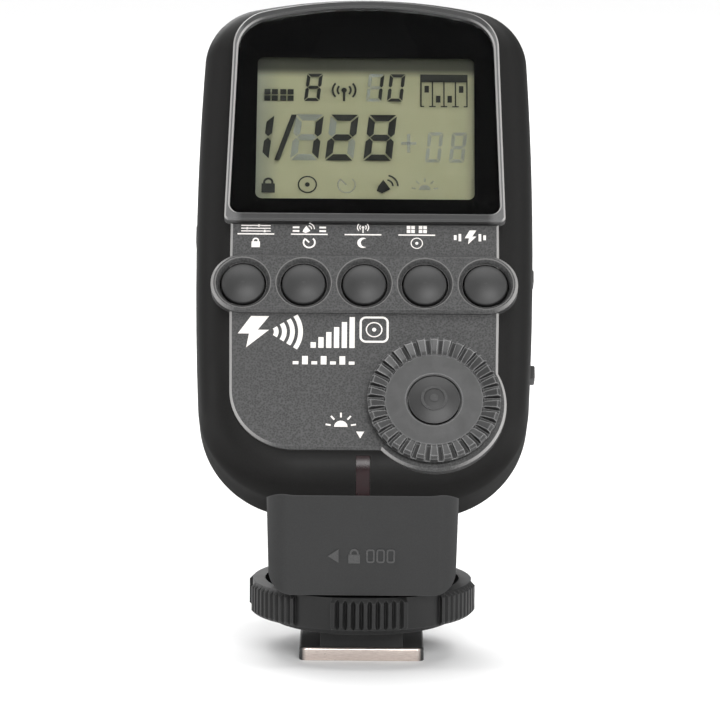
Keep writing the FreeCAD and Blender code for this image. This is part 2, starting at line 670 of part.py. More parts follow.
def battery_contacts():
    """Plates with a raised cone that reaches the end of each cell."""
    contacts = []
    slack = (BAY_HIGH - BAY_LOW - CELL_LENGTH) / 2
    z = cell_middle_z()
    for side in (-1, 1):
        for top in (False, True):
            wall = BAY_HIGH if top else BAY_LOW
            inward = -1 if top else 1
            low, high = sorted((wall, wall + 0.4 * inward))
            plate = box(side * CELL_X - 5.5, side * CELL_X + 5.5, low, high, z - 5.0, z + 5.0)
            bump = Part.makeCone(3.2, 2.0, slack, Vector(side * CELL_X, wall, z), Vector(0, inward, 0))
            contacts.append(fuse_all([plate, bump]))
    return group(contacts)


def case_screws():
    screws = []
    for x, y in CASE_SCREWS:
        head = disc(CASE_HEAD_R, CASE_SEAT_Z - 1.4, CASE_SEAT_Z, x, y)
        head = head.cut(disc(0.8, CASE_SEAT_Z - 2, CASE_SEAT_Z - 0.8, x, y))
        screws.append(fuse_all([head, disc(CASE_SCREW_R, CASE_SEAT_Z - 0.2, -4.2, x, y)]))
    return group(screws)


def board_screws():
    screws = []
    for x, y in BOARD_SCREWS:
        head = disc(1.15, BOARD_BACK - 0.45, BOARD_BACK, x, y)
        head = head.cut(disc(0.45, BOARD_BACK - 2, BOARD_BACK - 0.2, x, y))
        screws.append(fuse_all([head, disc(BOARD_SCREW_R, BOARD_BACK - 0.1, -3.0, x, y)]))
    return group(screws)


# ---- foot pieces, upright ----------------------------------------------------------------------------
def along_y(points, y0, y1):
    """Prism whose outline is drawn as (x, z) points."""
    vectors = [Vector(x, y0, z) for x, z in points]
    return Part.Face(Part.makePolygon(vectors + vectors[:1])).extrude(Vector(0, y1 - y0, 0))


def housing_block(inset, low):
    plan = box(-20, 20, HOUSING_FRONT + inset, HOUSING_BACK - inset, low, HOUSING_HIGH)
    plan = plan.common(box(-HOUSING_HALF_HIGH + inset, HOUSING_HALF_HIGH - inset, -30, 30, 0, 50))
    plan = plan.makeFillet(3.2 - inset, upright_edges(plan))
    half_low = HOUSING_HALF_LOW - inset
    half_high = HOUSING_HALF_HIGH - inset
    front = along_y([(-half_low, low), (half_low, low),
                     (half_high, HOUSING_HIGH), (-half_high, HOUSING_HIGH)], -30, 30)
    lower = [e for e in front.Edges if e.BoundBox.YLength > 50 and e.BoundBox.ZMax < low + 1]
    return plan.common(front.makeFillet(HOUSING_CORNER - inset, lower))


def foot_housing():
    block = housing_block(0, HOUSING_LOW)
    block = block.cut(housing_block(1.8, HOUSING_LOW + 1.8))
    bosses = [disc(2.4, HOUSING_LOW + 1, 24, x, y) for x, y in HOUSING_SCREWS]
    bosses += [disc(1.9, HOUSING_LOW + 1, FOOT_SCREW_TOP + 0.8, x, y) for x, y in FOOT_SCREWS]
    block = fuse_all([block] + bosses)
    tip, tail, z = ARROW
    arrow = along_y([(tip, z), (tail, z - 1), (tail, z + 1)], HOUSING_FRONT - 0.15, HOUSING_FRONT + 0.3)
    block = fuse_all([block, arrow]).cut(in_case_frame(case_solid(0)))
    holes = [disc(FOOT_SCREW_R, 0, FOOT_SCREW_TOP + 0.3, x, y) for x, y in FOOT_SCREWS]
    holes += [disc(0.9, HOUSING_LOW + 3, 30, x, y) for x, y in HOUSING_SCREWS]
    holes += [disc(CONTACT_R + 0.3, 0, 20, x, y) for x, y in CONTACTS]
    holes.append(disc(LOCK_PIN_R + RUNNING, 0, 20, 0, LOCK_PIN_Y))
    holes.append(beam_pane(-0.5, 1))
    return cut_all(block, holes)


def beam_pane(inner, outer):
    """Rounded oblong in the back of the foot housing, from inner to outer of its skin."""
    high = BEAM_Z + BEAM_HALF_HEIGHT
    pane = box(-BEAM_HALF_WIDTH, BEAM_HALF_WIDTH, HOUSING_BACK - 1.8 + inner, HOUSING_BACK + outer,
               BEAM_Z - BEAM_HALF_HEIGHT, high)
    corners = [e for e in pane.Edges if e.BoundBox.XLength < TINY and e.BoundBox.ZLength < TINY]
    return pane.makeFillet(1.2, corners)


def beam_window():
    return beam_pane(0, 0)


def beam_lamp():
    back = HOUSING_BACK - 5.4
    outward = Vector(0, 1, 0)
    flange = Part.makeCylinder(2.4, 0.6, Vector(0, back, BEAM_Z), outward)
    can = Part.makeCylinder(2.1, 1.4, Vector(0, back, BEAM_Z), outward)
    return fuse_all([flange, can, Part.makeSphere(2.1, Vector(0, back + 1.4, BEAM_Z)).common(
        box(-5, 5, back + 0.2, back + 9, 0, 40))])


def foot_holes():
    """Bores for the screws, the contacts and the lock pin, right through the foot."""
    holes = [disc(FOOT_SCREW_R, 0, 20, x, y) for x, y in FOOT_SCREWS]
    holes += [disc(CONTACT_R + 0.3, 0, 20, x, y) for x, y in CONTACTS]
    holes.append(disc(LOCK_PIN_R + RUNNING, 0, 20, 0, LOCK_PIN_Y))
    return holes


def foot_neck():
    stalk = box(-NECK_X / 2, NECK_X / 2, -NECK_DEPTH / 2, NECK_DEPTH / 2, PLATE_Z, NECK_TOP)
    return cut_all(stalk, foot_holes())


def thread_collar():
    return cut_all(disc(THREAD_R, NECK_TOP, HOUSING_LOW), foot_holes())


def foot_plate():
    plate = box(-PLATE_X / 2, PLATE_X / 2, -PLATE_DEPTH / 2, PLATE_DEPTH / 2, 0, PLATE_Z)
    plate = plate.makeFillet(0.9, upright_edges(plate))
    plate = plate.makeChamfer(0.25, level_edges(plate, PLATE_Z))
    holes = [disc(FOOT_SCREW_R, -1, 3, x, y) for x, y in FOOT_SCREWS]
    holes += [Part.makeCone(1.9, FOOT_SCREW_R, 0.9, Vector(x, y, 0), UP) for x, y in FOOT_SCREWS]
    holes.append(insert_block())
    holes.append(disc(LOCK_PIN_R + RUNNING, -1, 3, 0, LOCK_PIN_Y))
    return cut_all(plate, holes)


def insert_block():
    block = box(-4.2, 4.2, -4.5, 4.5, 0, PLATE_Z)
    return block.makeFillet(1.2, upright_edges(block))


def contact_insert():
    return cut_all(insert_block(), [disc(CONTACT_R + RUNNING, -1, 5, x, y) for x, y in CONTACTS])


def contact_pins():
    return group([turned([(0, 0), (CONTACT_R - 0.2, 0), (CONTACT_R, 0.2), (CONTACT_R, 12.0), (0, 12.0)], x, y)
                  for x, y in CONTACTS])


def foot_screws():
    screws = []
    for x, y in FOOT_SCREWS:
        head = Part.makeCone(1.9, FOOT_SCREW_R, 0.9, Vector(x, y, 0), UP).cut(disc(0.6, -1, 0.5, x, y))
        screws.append(fuse_all([head, disc(FOOT_SCREW_R, 0.85, FOOT_SCREW_TOP, x, y)]))
    return group(screws)


def housing_screws():
    screws = []
    for x, y in HOUSING_SCREWS:
        head = disc(1.9, SEAT_HEAD_Z, SEAT_HEAD_Z + 1.2, x, y)
        head = head.cut(disc(0.8, SEAT_HEAD_Z + 0.6, SEAT_HEAD_Z + 2, x, y))
        screws.append(fuse_all([head, disc(0.9, HOUSING_LOW + 3.5, SEAT_HEAD_Z + 0.1, x, y)]))
    return group(screws)


def lock_pin():
    r = LOCK_PIN_R
    return turned([(0, 0), (r - 0.25, 0), (r, 0.25), (r, LOCK_PIN_TOP), (0, LOCK_PIN_TOP)], 0, LOCK_PIN_Y)


def clamp_plate():
    plate = disc(13.5, CLAMP_Z, RING_LOW - 0.05)
    half_x = NECK_X / 2 + RUNNING
    half_y = NECK_DEPTH / 2 + RUNNING
    return plate.cut(box(-half_x, half_x, -half_y, half_y, 0, 10))


def lock_ring():
    """Ring with a threaded bore, a dished top and six ribbed pads."""
    bore = THREAD_R + RUNNING
    ring = turned([(bore, RING_LOW), (RING_R - 0.5, RING_LOW), (RING_R, RING_LOW + 0.5),
                   (RING_R, RING_HIGH - 0.7), (RING_R - 0.7, RING_HIGH), (RING_WELL_R, RING_HIGH),
                   (RING_WELL_R, RING_WELL_Z), (bore, RING_WELL_Z)])
    pitch = 360 / RING_PADS
    cuts = []
    for i in range(RING_PADS):
        middle = -90 + PAD_TURN + i * pitch
        span = pitch - 2 * PAD_HALF_ANGLE
        gap = Part.makeCylinder(RING_R + 2, 10, Vector(0, 0, 4), UP, span)
        gap = gap.cut(disc(RING_RECESS_R, 3, 15))
        gap.rotate(Vector(0, 0, 0), UP, middle + PAD_HALF_ANGLE)
        cuts.append(gap)
        for j in range(PAD_GROOVES):
            a = math.radians(middle + (j - (PAD_GROOVES - 1) / 2) * 2 * PAD_HALF_ANGLE / (PAD_GROOVES + 0.6))
            cuts.append(ring_groove(a))
    return cut_all(ring, cuts)


def ring_groove(angle):
    """Upright V groove in a pad, at an angle round the ring in radians."""
    out = Vector(math.cos(angle), math.sin(angle), 0)
    side = Vector(-math.sin(angle), math.cos(angle), 0)
    mouth = out * (RING_R + 0.3)
    corners = [out * (RING_R - GROOVE_DEPTH), mouth + side * GROOVE_HALF, mouth - side * GROOVE_HALF]
    return prism(Part.makePolygon(corners + corners[:1]), 4, 15)


# ---- the nodes ---------------------------------------------------------------------------------------
CASE_NODES = {
    "front_shell": front_shell,
    "rear_shell": rear_shell,
    "face_plate": face_plate,
    "display_hood": display_hood,
    "display_window": display_window,
    "window_mask": window_mask,
    "lcd_panel": lcd_panel,
    "backlight": backlight,
    "display_holder": display_holder,
    "button_bar": button_bar,
    "dial": dial,
    "dial_clip": dial_clip,
    "set_button": set_button,
    "encoder": encoder,
    "status_lens": status_lens,
    "status_led": status_led,
    "main_board": main_board,
    "key_switches": key_switches,
    "slide_switches": slide_switches,
    "radio_module": radio_module,
    "buzzer": buzzer,
    "side_board": side_board,
    "usb_socket": usb_socket,
    "sync_jack": sync_jack,
    "port_cover": port_cover,
    "port_cover_pin": port_cover_pin,
    "battery_door": battery_door,
    "door_pin": door_pin,
    "battery_cells": battery_cells,
    "battery_contacts": battery_contacts,
    "case_screws": case_screws,
    "board_screws": board_screws,
}
FOOT_NODES = {
    "foot_housing": foot_housing,
    "beam_window": beam_window,
    "beam_lamp": beam_lamp,
    "foot_neck": foot_neck,
    "thread_collar": thread_collar,
    "foot_plate": foot_plate,
    "contact_insert": contact_insert,
    "contact_pins": contact_pins,
    "foot_screws": foot_screws,
    "housing_screws": housing_screws,
    "lock_pin": lock_pin,
    "clamp_plate": clamp_plate,
    "lock_ring": lock_ring,
}


def build():
    nodes = {name: in_case_frame(make()) for name, make in CASE_NODES.items()}
    for name, x in zip(BUTTON_NAMES, button_places()):
        nodes[name] = in_case_frame(push_button(x))
    nodes["power_knob"] = in_case_frame(switch_knob(POWER_Y))
    nodes["beam_knob"] = in_case_frame(switch_knob(BEAM_Y))
    nodes.update({name: make() for name, make in FOOT_NODES.items()})
    return nodes


os.makedirs("parts", exist_ok=True)
NODES = build()
for name, shape in NODES.items():
    print(f"{name:18s} solids {len(shape.Solids)}  valid {shape.isValid()}  volume {shape.Volume:9.2f}")
    shape.exportStep(f"parts/{name}.step")
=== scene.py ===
import math

import bmesh
import bpy
from mathutils import Matrix, Vector
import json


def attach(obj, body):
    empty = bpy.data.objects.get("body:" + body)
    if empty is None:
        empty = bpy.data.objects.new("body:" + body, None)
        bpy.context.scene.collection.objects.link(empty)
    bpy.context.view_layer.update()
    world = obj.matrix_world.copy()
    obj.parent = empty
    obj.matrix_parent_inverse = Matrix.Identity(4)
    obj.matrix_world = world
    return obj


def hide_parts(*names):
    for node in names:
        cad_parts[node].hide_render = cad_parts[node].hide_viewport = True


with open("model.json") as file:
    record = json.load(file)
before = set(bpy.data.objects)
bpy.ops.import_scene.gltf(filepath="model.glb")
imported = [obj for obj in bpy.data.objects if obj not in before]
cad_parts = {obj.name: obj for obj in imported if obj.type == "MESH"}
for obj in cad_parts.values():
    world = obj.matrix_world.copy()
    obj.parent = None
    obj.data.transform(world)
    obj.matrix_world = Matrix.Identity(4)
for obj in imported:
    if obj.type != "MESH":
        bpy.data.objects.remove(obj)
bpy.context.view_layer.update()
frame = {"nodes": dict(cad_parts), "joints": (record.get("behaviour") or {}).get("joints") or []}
NODES = frame["nodes"]
JOINTS = {joint["name"]: joint for joint in frame["joints"]}

# ---- frames and sizes --------------------------------------------------------------------------------
# Metres in Blender; the sizes below are in millimetres and in the face frame: x across, y up the face,
# z straight out of it, with z = 0 on the face plate.  The dial's axis in the record says where that is.
MM = 0.001
DIAL_X = 10.37
DIAL_Y = 7.35
DIAL_DISC_R = 7.16                 # flat disc inside the ribs
SET_CAP_TOP = 1.9                  # where the marks on the dial's middle button start
BAR_Y = 26.5                       # middle of the bar of buttons
BAR_END_R = 4.3                    # where the chamfer round each end of the bar begins
BUTTON_PITCH = 9.04
BORE_RIM_R = 4.12
HOOD_FLANK = (18.4, 19.4)          # the hood gets paler between these, left and right: a painted highlight on its rim
VIEW_HALF = 16.5                   # visible part of the display
VIEW_HIGH = 65.0
LCD_FACE = -1.3                    # front of the display's reflecting layer, and its outline
LCD_HALF_WIDE = 18.0
LCD_LOW = 39.4
LCD_HIGH = 66.8
LCD_THICK = 1.6
PRINT_RISE = 0.02                  # thickness of printed marks and display segments
SEGMENT_GAP = 0.35                 # how far the segments are above the reflecting layer

# These are in millimetres in the object's own frame: x to the right, y away from the front, z up.
BLOCK_FRONT = -15.8                # front of the foot housing
BLOCK_ARROW = (-5.1, -3.5, 17.2)   # x of the arrow's tip and tail, and its height
CELL_BAND_LOW = 74.0               # where the coloured band of the cells' wrap begins
PLATE_BARE_HALF = (8.3, 8.9)       # the foot plate's front edge is bright up to here
CAMERA_PLACE = (-0.56, -638.0, 136.0)
CAMERA_LENS = 215.05

LIGHT_AIM = Vector((0, 0, 50)) * MM

# Degrees
CAMERA_PITCH = 8.2                 # downwards
CAMERA_ROLL = 0.45
GLARE_TILT = 33.2                  # forward from the zenith; a bright sky there would haze the window

ACROSS = Vector((1, 0, 0))
OUT = Vector(JOINTS["dial_turn"]["axis"]).normalized()
ALONG = OUT.cross(ACROSS)
FACE_ORIGIN = Vector(JOINTS["dial_turn"]["pos_m"]) - (ACROSS * DIAL_X + ALONG * DIAL_Y) * MM
FACE = Matrix.Translation(FACE_ORIGIN) @ Matrix((ACROSS, ALONG, OUT)).transposed().to_4x4()
BLOCK = Matrix.Translation(Vector((0, BLOCK_FRONT, 0)) * MM) @ Matrix.Rotation(math.radians(90), 4, "X")


# ---- material helpers --------------------------------------------------------------------------------
class Look:
    """A Principled material whose colour, roughness and bump come from procedural nodes."""

    def __init__(self, name, **sockets):
        self.material = bpy.data.materials.new(name)
        self.material.use_nodes = True
        self.tree = self.material.node_tree
        self.shader = self.tree.nodes["Principled BSDF"]
        for socket, value in sockets.items():
            self.shader.inputs[socket.replace("_", " ")].default_value = value
        self.coordinates = self.tree.nodes.new("ShaderNodeTexCoord").outputs["Object"]

    def feed(self, socket, value):
        """Links another node's output to a socket, or sets the socket to a plain value."""
        if isinstance(value, bpy.types.NodeSocket):
            self.tree.links.new(value, socket)
        else:
            socket.default_value = value

    def node(self, kind, inputs=None, **settings):
        made = self.tree.nodes.new("ShaderNode" + kind)
        for key, value in settings.items():
            setattr(made, key, value)
        for socket, value in (inputs or {}).items():
            self.feed(made.inputs[socket], value)
        return made

    def place(self, stretch):
        return self.node("Mapping", {"Vector": self.coordinates, "Scale": stretch}).outputs[0]

    def noise(self, size, detail=3.0, rough=0.55, at=None, warp=0.0):
        """Noise whose blobs are about size millimetres across."""
        return self.node("TexNoise", {"Vector": at or self.coordinates, "Scale": 1 / (size * MM),
                                      "Detail": detail, "Roughness": rough,
                                      "Distortion": warp}).outputs["Fac"]

    def cells(self, size, feature="F1", scatter=1.0):
        return self.node("TexVoronoi", {"Vector": self.coordinates, "Scale": 1 / (size * MM),
                                        "Randomness": scatter}, feature=feature).outputs["Distance"]

    def spread(self, value, low, high, to_low=0.0, to_high=1.0):
        """Maps low..high of a value to to_low..to_high, and holds it there."""
        return self.node("MapRange", {"Value": value, "From Min": low, "From Max": high,
                                      "To Min": to_low, "To Max": to_high}).outputs["Result"]

    def math(self, operation, a, b=0.0, c=0.0):
        return self.node("Math", {0: a, 1: b, 2: c}, operation=operation).outputs[0]

    def vector(self, operation, a, b=(0, 0, 0), output="Vector"):
        return self.node("VectorMath", {0: a, 1: b}, operation=operation).outputs[output]

    def blend(self, share, first, second):
        """Colour that goes from first to second as share goes from 0 to 1."""
        pair = [colour if isinstance(colour, bpy.types.NodeSocket) else (*colour, 1.0)
                for colour in (first, second)]
        return self.node("Mix", {0: share, 6: pair[0], 7: pair[1]}, data_type="RGBA").outputs[2]

    def edges(self, reach, high=0.09):
        """1 on sharp edges, 0 on flat faces, from how much a bevelled normal would turn; it carries worn
        edges on moulded plastic and painted highlights on the panel, hood and dial.
        """
        rounded = self.node("Bevel", {"Radius": reach * MM}, samples=6).outputs["Normal"]
        true = self.node("NewGeometry").outputs["Normal"]
        turn = self.vector("DOT_PRODUCT", rounded, true, output="Value")
        return self.spread(self.math("SUBTRACT", 1.0, turn), 0.01, high)

    def face_place(self):
        """Place in the face frame: x across and y up the face."""
        from_origin = self.vector("SUBTRACT", self.coordinates, FACE_ORIGIN)
        up = self.vector("DOT_PRODUCT", from_origin, ALONG, output="Value")
        return self.node("SeparateXYZ", {0: from_origin}).outputs[0], up

    def distance(self, x, y):
        return self.vector("LENGTH", self.node("CombineXYZ", {0: x, 1: y}).outputs[0], output="Value")

    def side_chamfers(self):
        """1 on narrow faces that slope off the front towards the left or right, 0 elsewhere."""
        normal = self.node("NewGeometry").outputs["True Normal"]
        front = self.vector("DOT_PRODUCT", normal, OUT, output="Value")
        sloping = self.math("MULTIPLY", self.spread(front, 0.85, 0.95, 1.0, 0.0),
                            self.spread(front, 0.2, 0.5))
        sideways = self.math("ABSOLUTE", self.node("SeparateXYZ", {0: normal}).outputs[0])
        return self.math("MULTIPLY", sloping, self.spread(sideways, 0.15, 0.6))

    def colour(self, socket):
        self.tree.links.new(socket, self.shader.inputs["Base Color"])
        return self

    def rough(self, socket):
        self.tree.links.new(socket, self.shader.inputs["Roughness"])
        return self

    def bump(self, height, depth, strength=1.0):
        """Raises the surface by height (0 to 1) times depth millimetres."""
        made = self.node("Bump", {"Height": height, "Distance": depth * MM, "Strength": strength})
        self.tree.links.new(made.outputs["Normal"], self.shader.inputs["Normal"])
        return self


def grey(value, warmth=0.0):
    return (value * (1 + warmth), value, value * (1 - warmth))


def moulded(name, dark, light, rough, grain=0.18, depth=0.004, wear=0.0, reach=0.25, specular=0.5):
    """Moulded plastic: fine spark-eroded grain, faint blotches from handling and slightly worn edges."""
    look = Look(name, Specular_IOR_Level=specular)
    fine = look.noise(grain, detail=2.0, rough=0.6)
    blotch = look.noise(9.0, detail=4.0, rough=0.6, warp=0.4)
    tone = look.blend(look.spread(fine, 0.3, 0.7), dark, light)
    if wear:
        rub = look.math("MULTIPLY", look.edges(reach), look.spread(blotch, 0.35, 0.65, 0.35, 1.0))
        tone = look.blend(look.math("MULTIPLY", rub, wear), tone, tuple(min(1.0, 9.0 * c) for c in light))
    look.colour(tone)
    shine = look.math("MULTIPLY_ADD", look.spread(blotch, 0.3, 0.7), 0.10, rough - 0.05)
    look.rough(look.math("MULTIPLY_ADD", fine, 0.06, shine))
    return look.bump(fine, depth)


def metal(name, dark, light, rough, streak=(1, 1, 1), grain=0.12):
    """Bare or plated metal with fine scratches, drawn out along the small share of streak."""
    look = Look(name, Metallic=1.0)
    at = look.place(stretch=streak)
    scratch = look.noise(grain, detail=4.0, rough=0.65, at=at)
    blotch = look.noise(4.0, detail=3.0)
    look.colour(look.blend(look.spread(scratch, 0.3, 0.7), dark, light))
    shine = look.math("MULTIPLY_ADD", scratch, 0.1, rough - 0.1)
    look.rough(look.math("MULTIPLY_ADD", blotch, 0.12, shine))
    return look.bump(scratch, 0.002)


# ---- materials ---------------------------------------------------------------------------------------
def case_material():
    """Satin plastic, duller underneath where nothing rubs it."""
    look = moulded("case_plastic", grey(0.0045, 0.04), grey(0.0075, 0.04), 0.50, wear=0.3, specular=0.17)
    down = look.node("SeparateXYZ", {0: look.node("NewGeometry").outputs["Normal"]}).outputs[2]
    polish = look.shader.inputs["Roughness"].links[0].from_socket
    dull = look.math("MULTIPLY", look.spread(down, 0.15, -0.35), 0.4)
    return look.rough(look.math("ADD", polish, dull)).material


def panel_look(name):
    """Raised panel with a coarse sparkling texture, and its colour with a painted highlight on its edges.
    """
    look = Look(name, Specular_IOR_Level=0.5)
    speck = look.cells(0.3, scatter=1.0)
    fine = look.noise(0.2, detail=2.0)
    blotch = look.noise(12.0, detail=3.0)
    mixed = look.math("MULTIPLY_ADD", fine, 0.5, speck)
    tone = look.blend(look.spread(mixed, 0.35, 1.05), grey(0.013), grey(0.057))
    tone = look.blend(look.spread(blotch, 0.35, 0.7, 0.0, 0.25), tone, grey(0.038))
    # Painted highlight: the panel's sharp edges are made pale grey.
    tone = look.blend(look.math("MULTIPLY", look.edges(0.16), 0.4), tone, grey(0.16, 0.02))
    look.rough(look.math("MULTIPLY_ADD", fine, 0.16, 0.42))
    look.bump(mixed, 0.026, strength=0.8)
    return look, tone


def panel_material():
    look, tone = panel_look("panel_plastic")
    # Painted highlight: faces that slope off the front to the left and right are made pale grey.
    return look.colour(look.blend(look.side_chamfers(), tone, grey(0.27, 0.02))).material


def bar_material():
    """The panel's plastic, with thin painted highlights round the bores and on the chamfer round the bar's
    ends.
    """
    look, tone = panel_look("bar_plastic")
    x, y = look.face_place()
    level = look.math("SUBTRACT", y, BAR_Y * MM)
    past_end = look.math("SUBTRACT", look.math("ABSOLUTE", x), 2 * BUTTON_PITCH * MM)
    from_end = look.distance(past_end, level)
    rounded = look.spread(from_end, (BAR_END_R - 0.05) * MM, (BAR_END_R + 0.05) * MM)
    end = look.math("MULTIPLY", rounded, look.spread(past_end, 0.0, 1.0 * MM))
    # Painted highlight on the chamfer round each end of the bar.
    tone = look.blend(look.math("MULTIPLY", end, look.side_chamfers()), tone, grey(0.20, 0.02))
    # Painted highlight: a thin pale ring round each bore.
    from_bore = look.math("WRAP", x, BUTTON_PITCH / 2 * MM, -BUTTON_PITCH / 2 * MM)
    from_rim = look.math("SUBTRACT", look.distance(from_bore, level), BORE_RIM_R * MM)
    bore_rim_glint = look.spread(look.math("ABSOLUTE", from_rim), 0.03 * MM, 0.12 * MM, 0.8, 0.0)
    return look.colour(look.blend(bore_rim_glint, tone, grey(0.15, 0.02))).material


def hood_material():
    look = Look("hood_plastic", Specular_IOR_Level=0.5)
    fine = look.noise(0.14, detail=2.0, rough=0.6)
    # Painted highlight: the hood is paler at its flanks, left and right of the display.
    flank = look.math("ABSOLUTE", look.node("SeparateXYZ", {0: look.coordinates}).outputs[0])
    beside = look.spread(flank, HOOD_FLANK[0] * MM, HOOD_FLANK[1] * MM)
    tone = look.blend(look.spread(fine, 0.3, 0.7), grey(0.026), grey(0.038))
    tone = look.blend(beside, tone, look.blend(look.spread(fine, 0.3, 0.7), grey(0.085), grey(0.115)))
    # Painted highlight on the hood's sharp edges.
    tone = look.blend(look.math("MULTIPLY", look.edges(0.15), 0.4), tone, grey(0.20))
    # Painted highlight on the side chamfers.
    look.colour(look.blend(look.side_chamfers(), tone, grey(0.29, 0.02)))
    look.rough(look.math("MULTIPLY_ADD", fine, 0.12, 0.34))
    return look.bump(fine, 0.003).material


def cap_material():
    return moulded("cap_plastic", grey(0.017), grey(0.024), 0.47, grain=0.10, depth=0.0015,
                   wear=0.15).material


def dial_material():
    """Satin plastic, paler grey in blotches on the flat disc, with a painted highlight on the edges of the
    ribs.
    """
    look = Look("dial_plastic", Specular_IOR_Level=0.5)
    centre = FACE @ (Vector((DIAL_X, DIAL_Y, 0)) * MM)
    spoke = look.vector("SUBTRACT", look.coordinates, centre)
    radius = look.vector("LENGTH", look.vector("CROSS_PRODUCT", spoke, OUT), output="Value")
    fine = look.noise(0.13, detail=2.0, rough=0.6)
    blotch = look.noise(2.2, detail=5.0, rough=0.65, warp=0.5)
    tone = look.blend(look.spread(fine, 0.3, 0.7), grey(0.016), grey(0.024))
    # The flat disc inside the ribs is paler grey, in blotches.
    disc = look.spread(radius, (DIAL_DISC_R - 0.1) * MM, (DIAL_DISC_R + 0.1) * MM, 1.0, 0.0)
    paler_disc = look.math("MULTIPLY", disc, look.spread(blotch, 0.3, 0.7, 0.65, 1.0))
    tone = look.blend(paler_disc, tone, grey(0.068))
    # Painted highlight: the edges of the ribs are made bright grey.
    look.colour(look.blend(look.math("MULTIPLY", look.edges(0.3, high=0.04), 0.7), tone, grey(0.22)))
    look.rough(look.math("MULTIPLY_ADD", fine, 0.08, look.math("MULTIPLY_ADD", blotch, 0.1, 0.34)))
    return look.bump(fine, 0.004).material


def foot_plastic_material():
    return moulded("foot_plastic", grey(0.014, -0.01), grey(0.019, -0.01), 0.52, grain=0.22, depth=0.005,
                   wear=0.12, specular=0.35).material


def ring_material():
    return moulded("ring_plastic", grey(0.0055), grey(0.009), 0.44, grain=0.16, depth=0.004,
                   wear=0.5, reach=0.2, specular=0.34).material


def inner_plastic_material():
    return moulded("inner_plastic", grey(0.05), grey(0.075), 0.5, grain=0.3, depth=0.006).material


def switch_material():
    return moulded("switch_plastic", grey(0.09, -0.02), grey(0.12, -0.02), 0.45, grain=0.2).material


def rubber_material():
    look = Look("strip_rubber", Specular_IOR_Level=0.3, Sheen_Weight=0.15, Sheen_Roughness=0.5)
    fine = look.noise(0.25, detail=3.0)
    dust = look.noise(3.0, detail=5.0, rough=0.7)
    tone = look.blend(look.spread(fine, 0.3, 0.7), grey(0.012), grey(0.019))
    look.colour(look.blend(look.spread(dust, 0.55, 0.8, 0.0, 0.3), tone, grey(0.06, 0.05)))
    look.rough(look.math("MULTIPLY_ADD", dust, 0.2, 0.6))
    return look.bump(fine, 0.008).material


def window_material():
    look = Look("window_acrylic", Base_Color=(1, 1, 1, 1), Transmission_Weight=1.0, IOR=1.49)
    haze = look.noise(6.0, detail=5.0, rough=0.7, warp=0.8)
    normal = look.node("NewGeometry").outputs["True Normal"]
    front = look.vector("DOT_PRODUCT", normal, OUT, output="Value")
    cut_edge = look.spread(look.math("ABSOLUTE", front), 0.5, 0.9, 0.6, 0.0)
    look.rough(look.math("ADD", cut_edge, look.spread(haze, 0.45, 0.8, 0.0, 0.035)))
    return look.bump(look.noise(14.0, detail=1.0), 0.002, strength=0.3).material


def mask_material():
    look = Look("mask_ink", Roughness=0.6, Specular_IOR_Level=0.1)
    return look.colour(look.blend(look.noise(0.3), grey(0.0012), grey(0.0025))).material


def red_lens_material():
    look = Look("red_lens", Specular_IOR_Level=0.3)
    swirl = look.noise(1.6, detail=3.0, warp=0.6)
    look.colour(look.blend(swirl, (0.006, 0.0008, 0.0014), (0.014, 0.0014, 0.0026)))
    look.rough(look.spread(swirl, 0.3, 0.7, 0.26, 0.32))
    return look.bump(swirl, 0.001, strength=0.5).material


def board_material():
    look = Look("circuit_board", Specular_IOR_Level=0.5, Coat_Weight=0.4, Coat_Roughness=0.2)
    tracks = look.cells(2.2, feature="DISTANCE_TO_EDGE", scatter=0.8)
    copper = look.spread(tracks, 0.05, 0.09, 1.0, 0.0)
    weave = look.noise(0.4, detail=2.0)
    base = look.blend(weave, (0.006, 0.045, 0.018), (0.010, 0.062, 0.026))
    look.colour(look.blend(copper, base, (0.018, 0.105, 0.040)))
    look.rough(look.math("MULTIPLY_ADD", weave, 0.15, 0.35))
    return look.bump(copper, 0.03).material


def cell_material():
    """Plain battery wrap: two bands of colour round the can, and no words."""
    look = Look("cell_wrap", Specular_IOR_Level=0.5, Coat_Weight=0.5, Coat_Roughness=0.15)
    height = look.node("SeparateXYZ", {0: look.coordinates}).outputs[2]
    band = look.spread(height, CELL_BAND_LOW * MM, (CELL_BAND_LOW + 0.2) * MM)
    scuff = look.noise(1.5, detail=5.0, rough=0.7)
    body = look.blend(look.spread(scuff, 0.3, 0.75), (0.05, 0.07, 0.10), (0.08, 0.10, 0.14))
    look.colour(look.blend(band, body, (0.55, 0.30, 0.06)))
    look.rough(look.math("MULTIPLY_ADD", scuff, 0.2, 0.22))
    return look.bump(scuff, 0.004).material


def lamp_material():
    look = Look("lamp_epoxy", Specular_IOR_Level=0.6, Transmission_Weight=0.5, IOR=1.5)
    look.colour(look.blend(look.noise(0.8), (0.42, 0.03, 0.03), (0.60, 0.06, 0.05)))
    return look.rough(look.spread(look.noise(0.4), 0.3, 0.7, 0.10, 0.22)).material


def light_guide_material():
    look = Look("light_guide", Specular_IOR_Level=0.5)
    look.colour(look.blend(look.noise(1.2), grey(0.55), grey(0.68)))
    return look.rough(look.spread(look.noise(0.5), 0.3, 0.7, 0.25, 0.4)).material


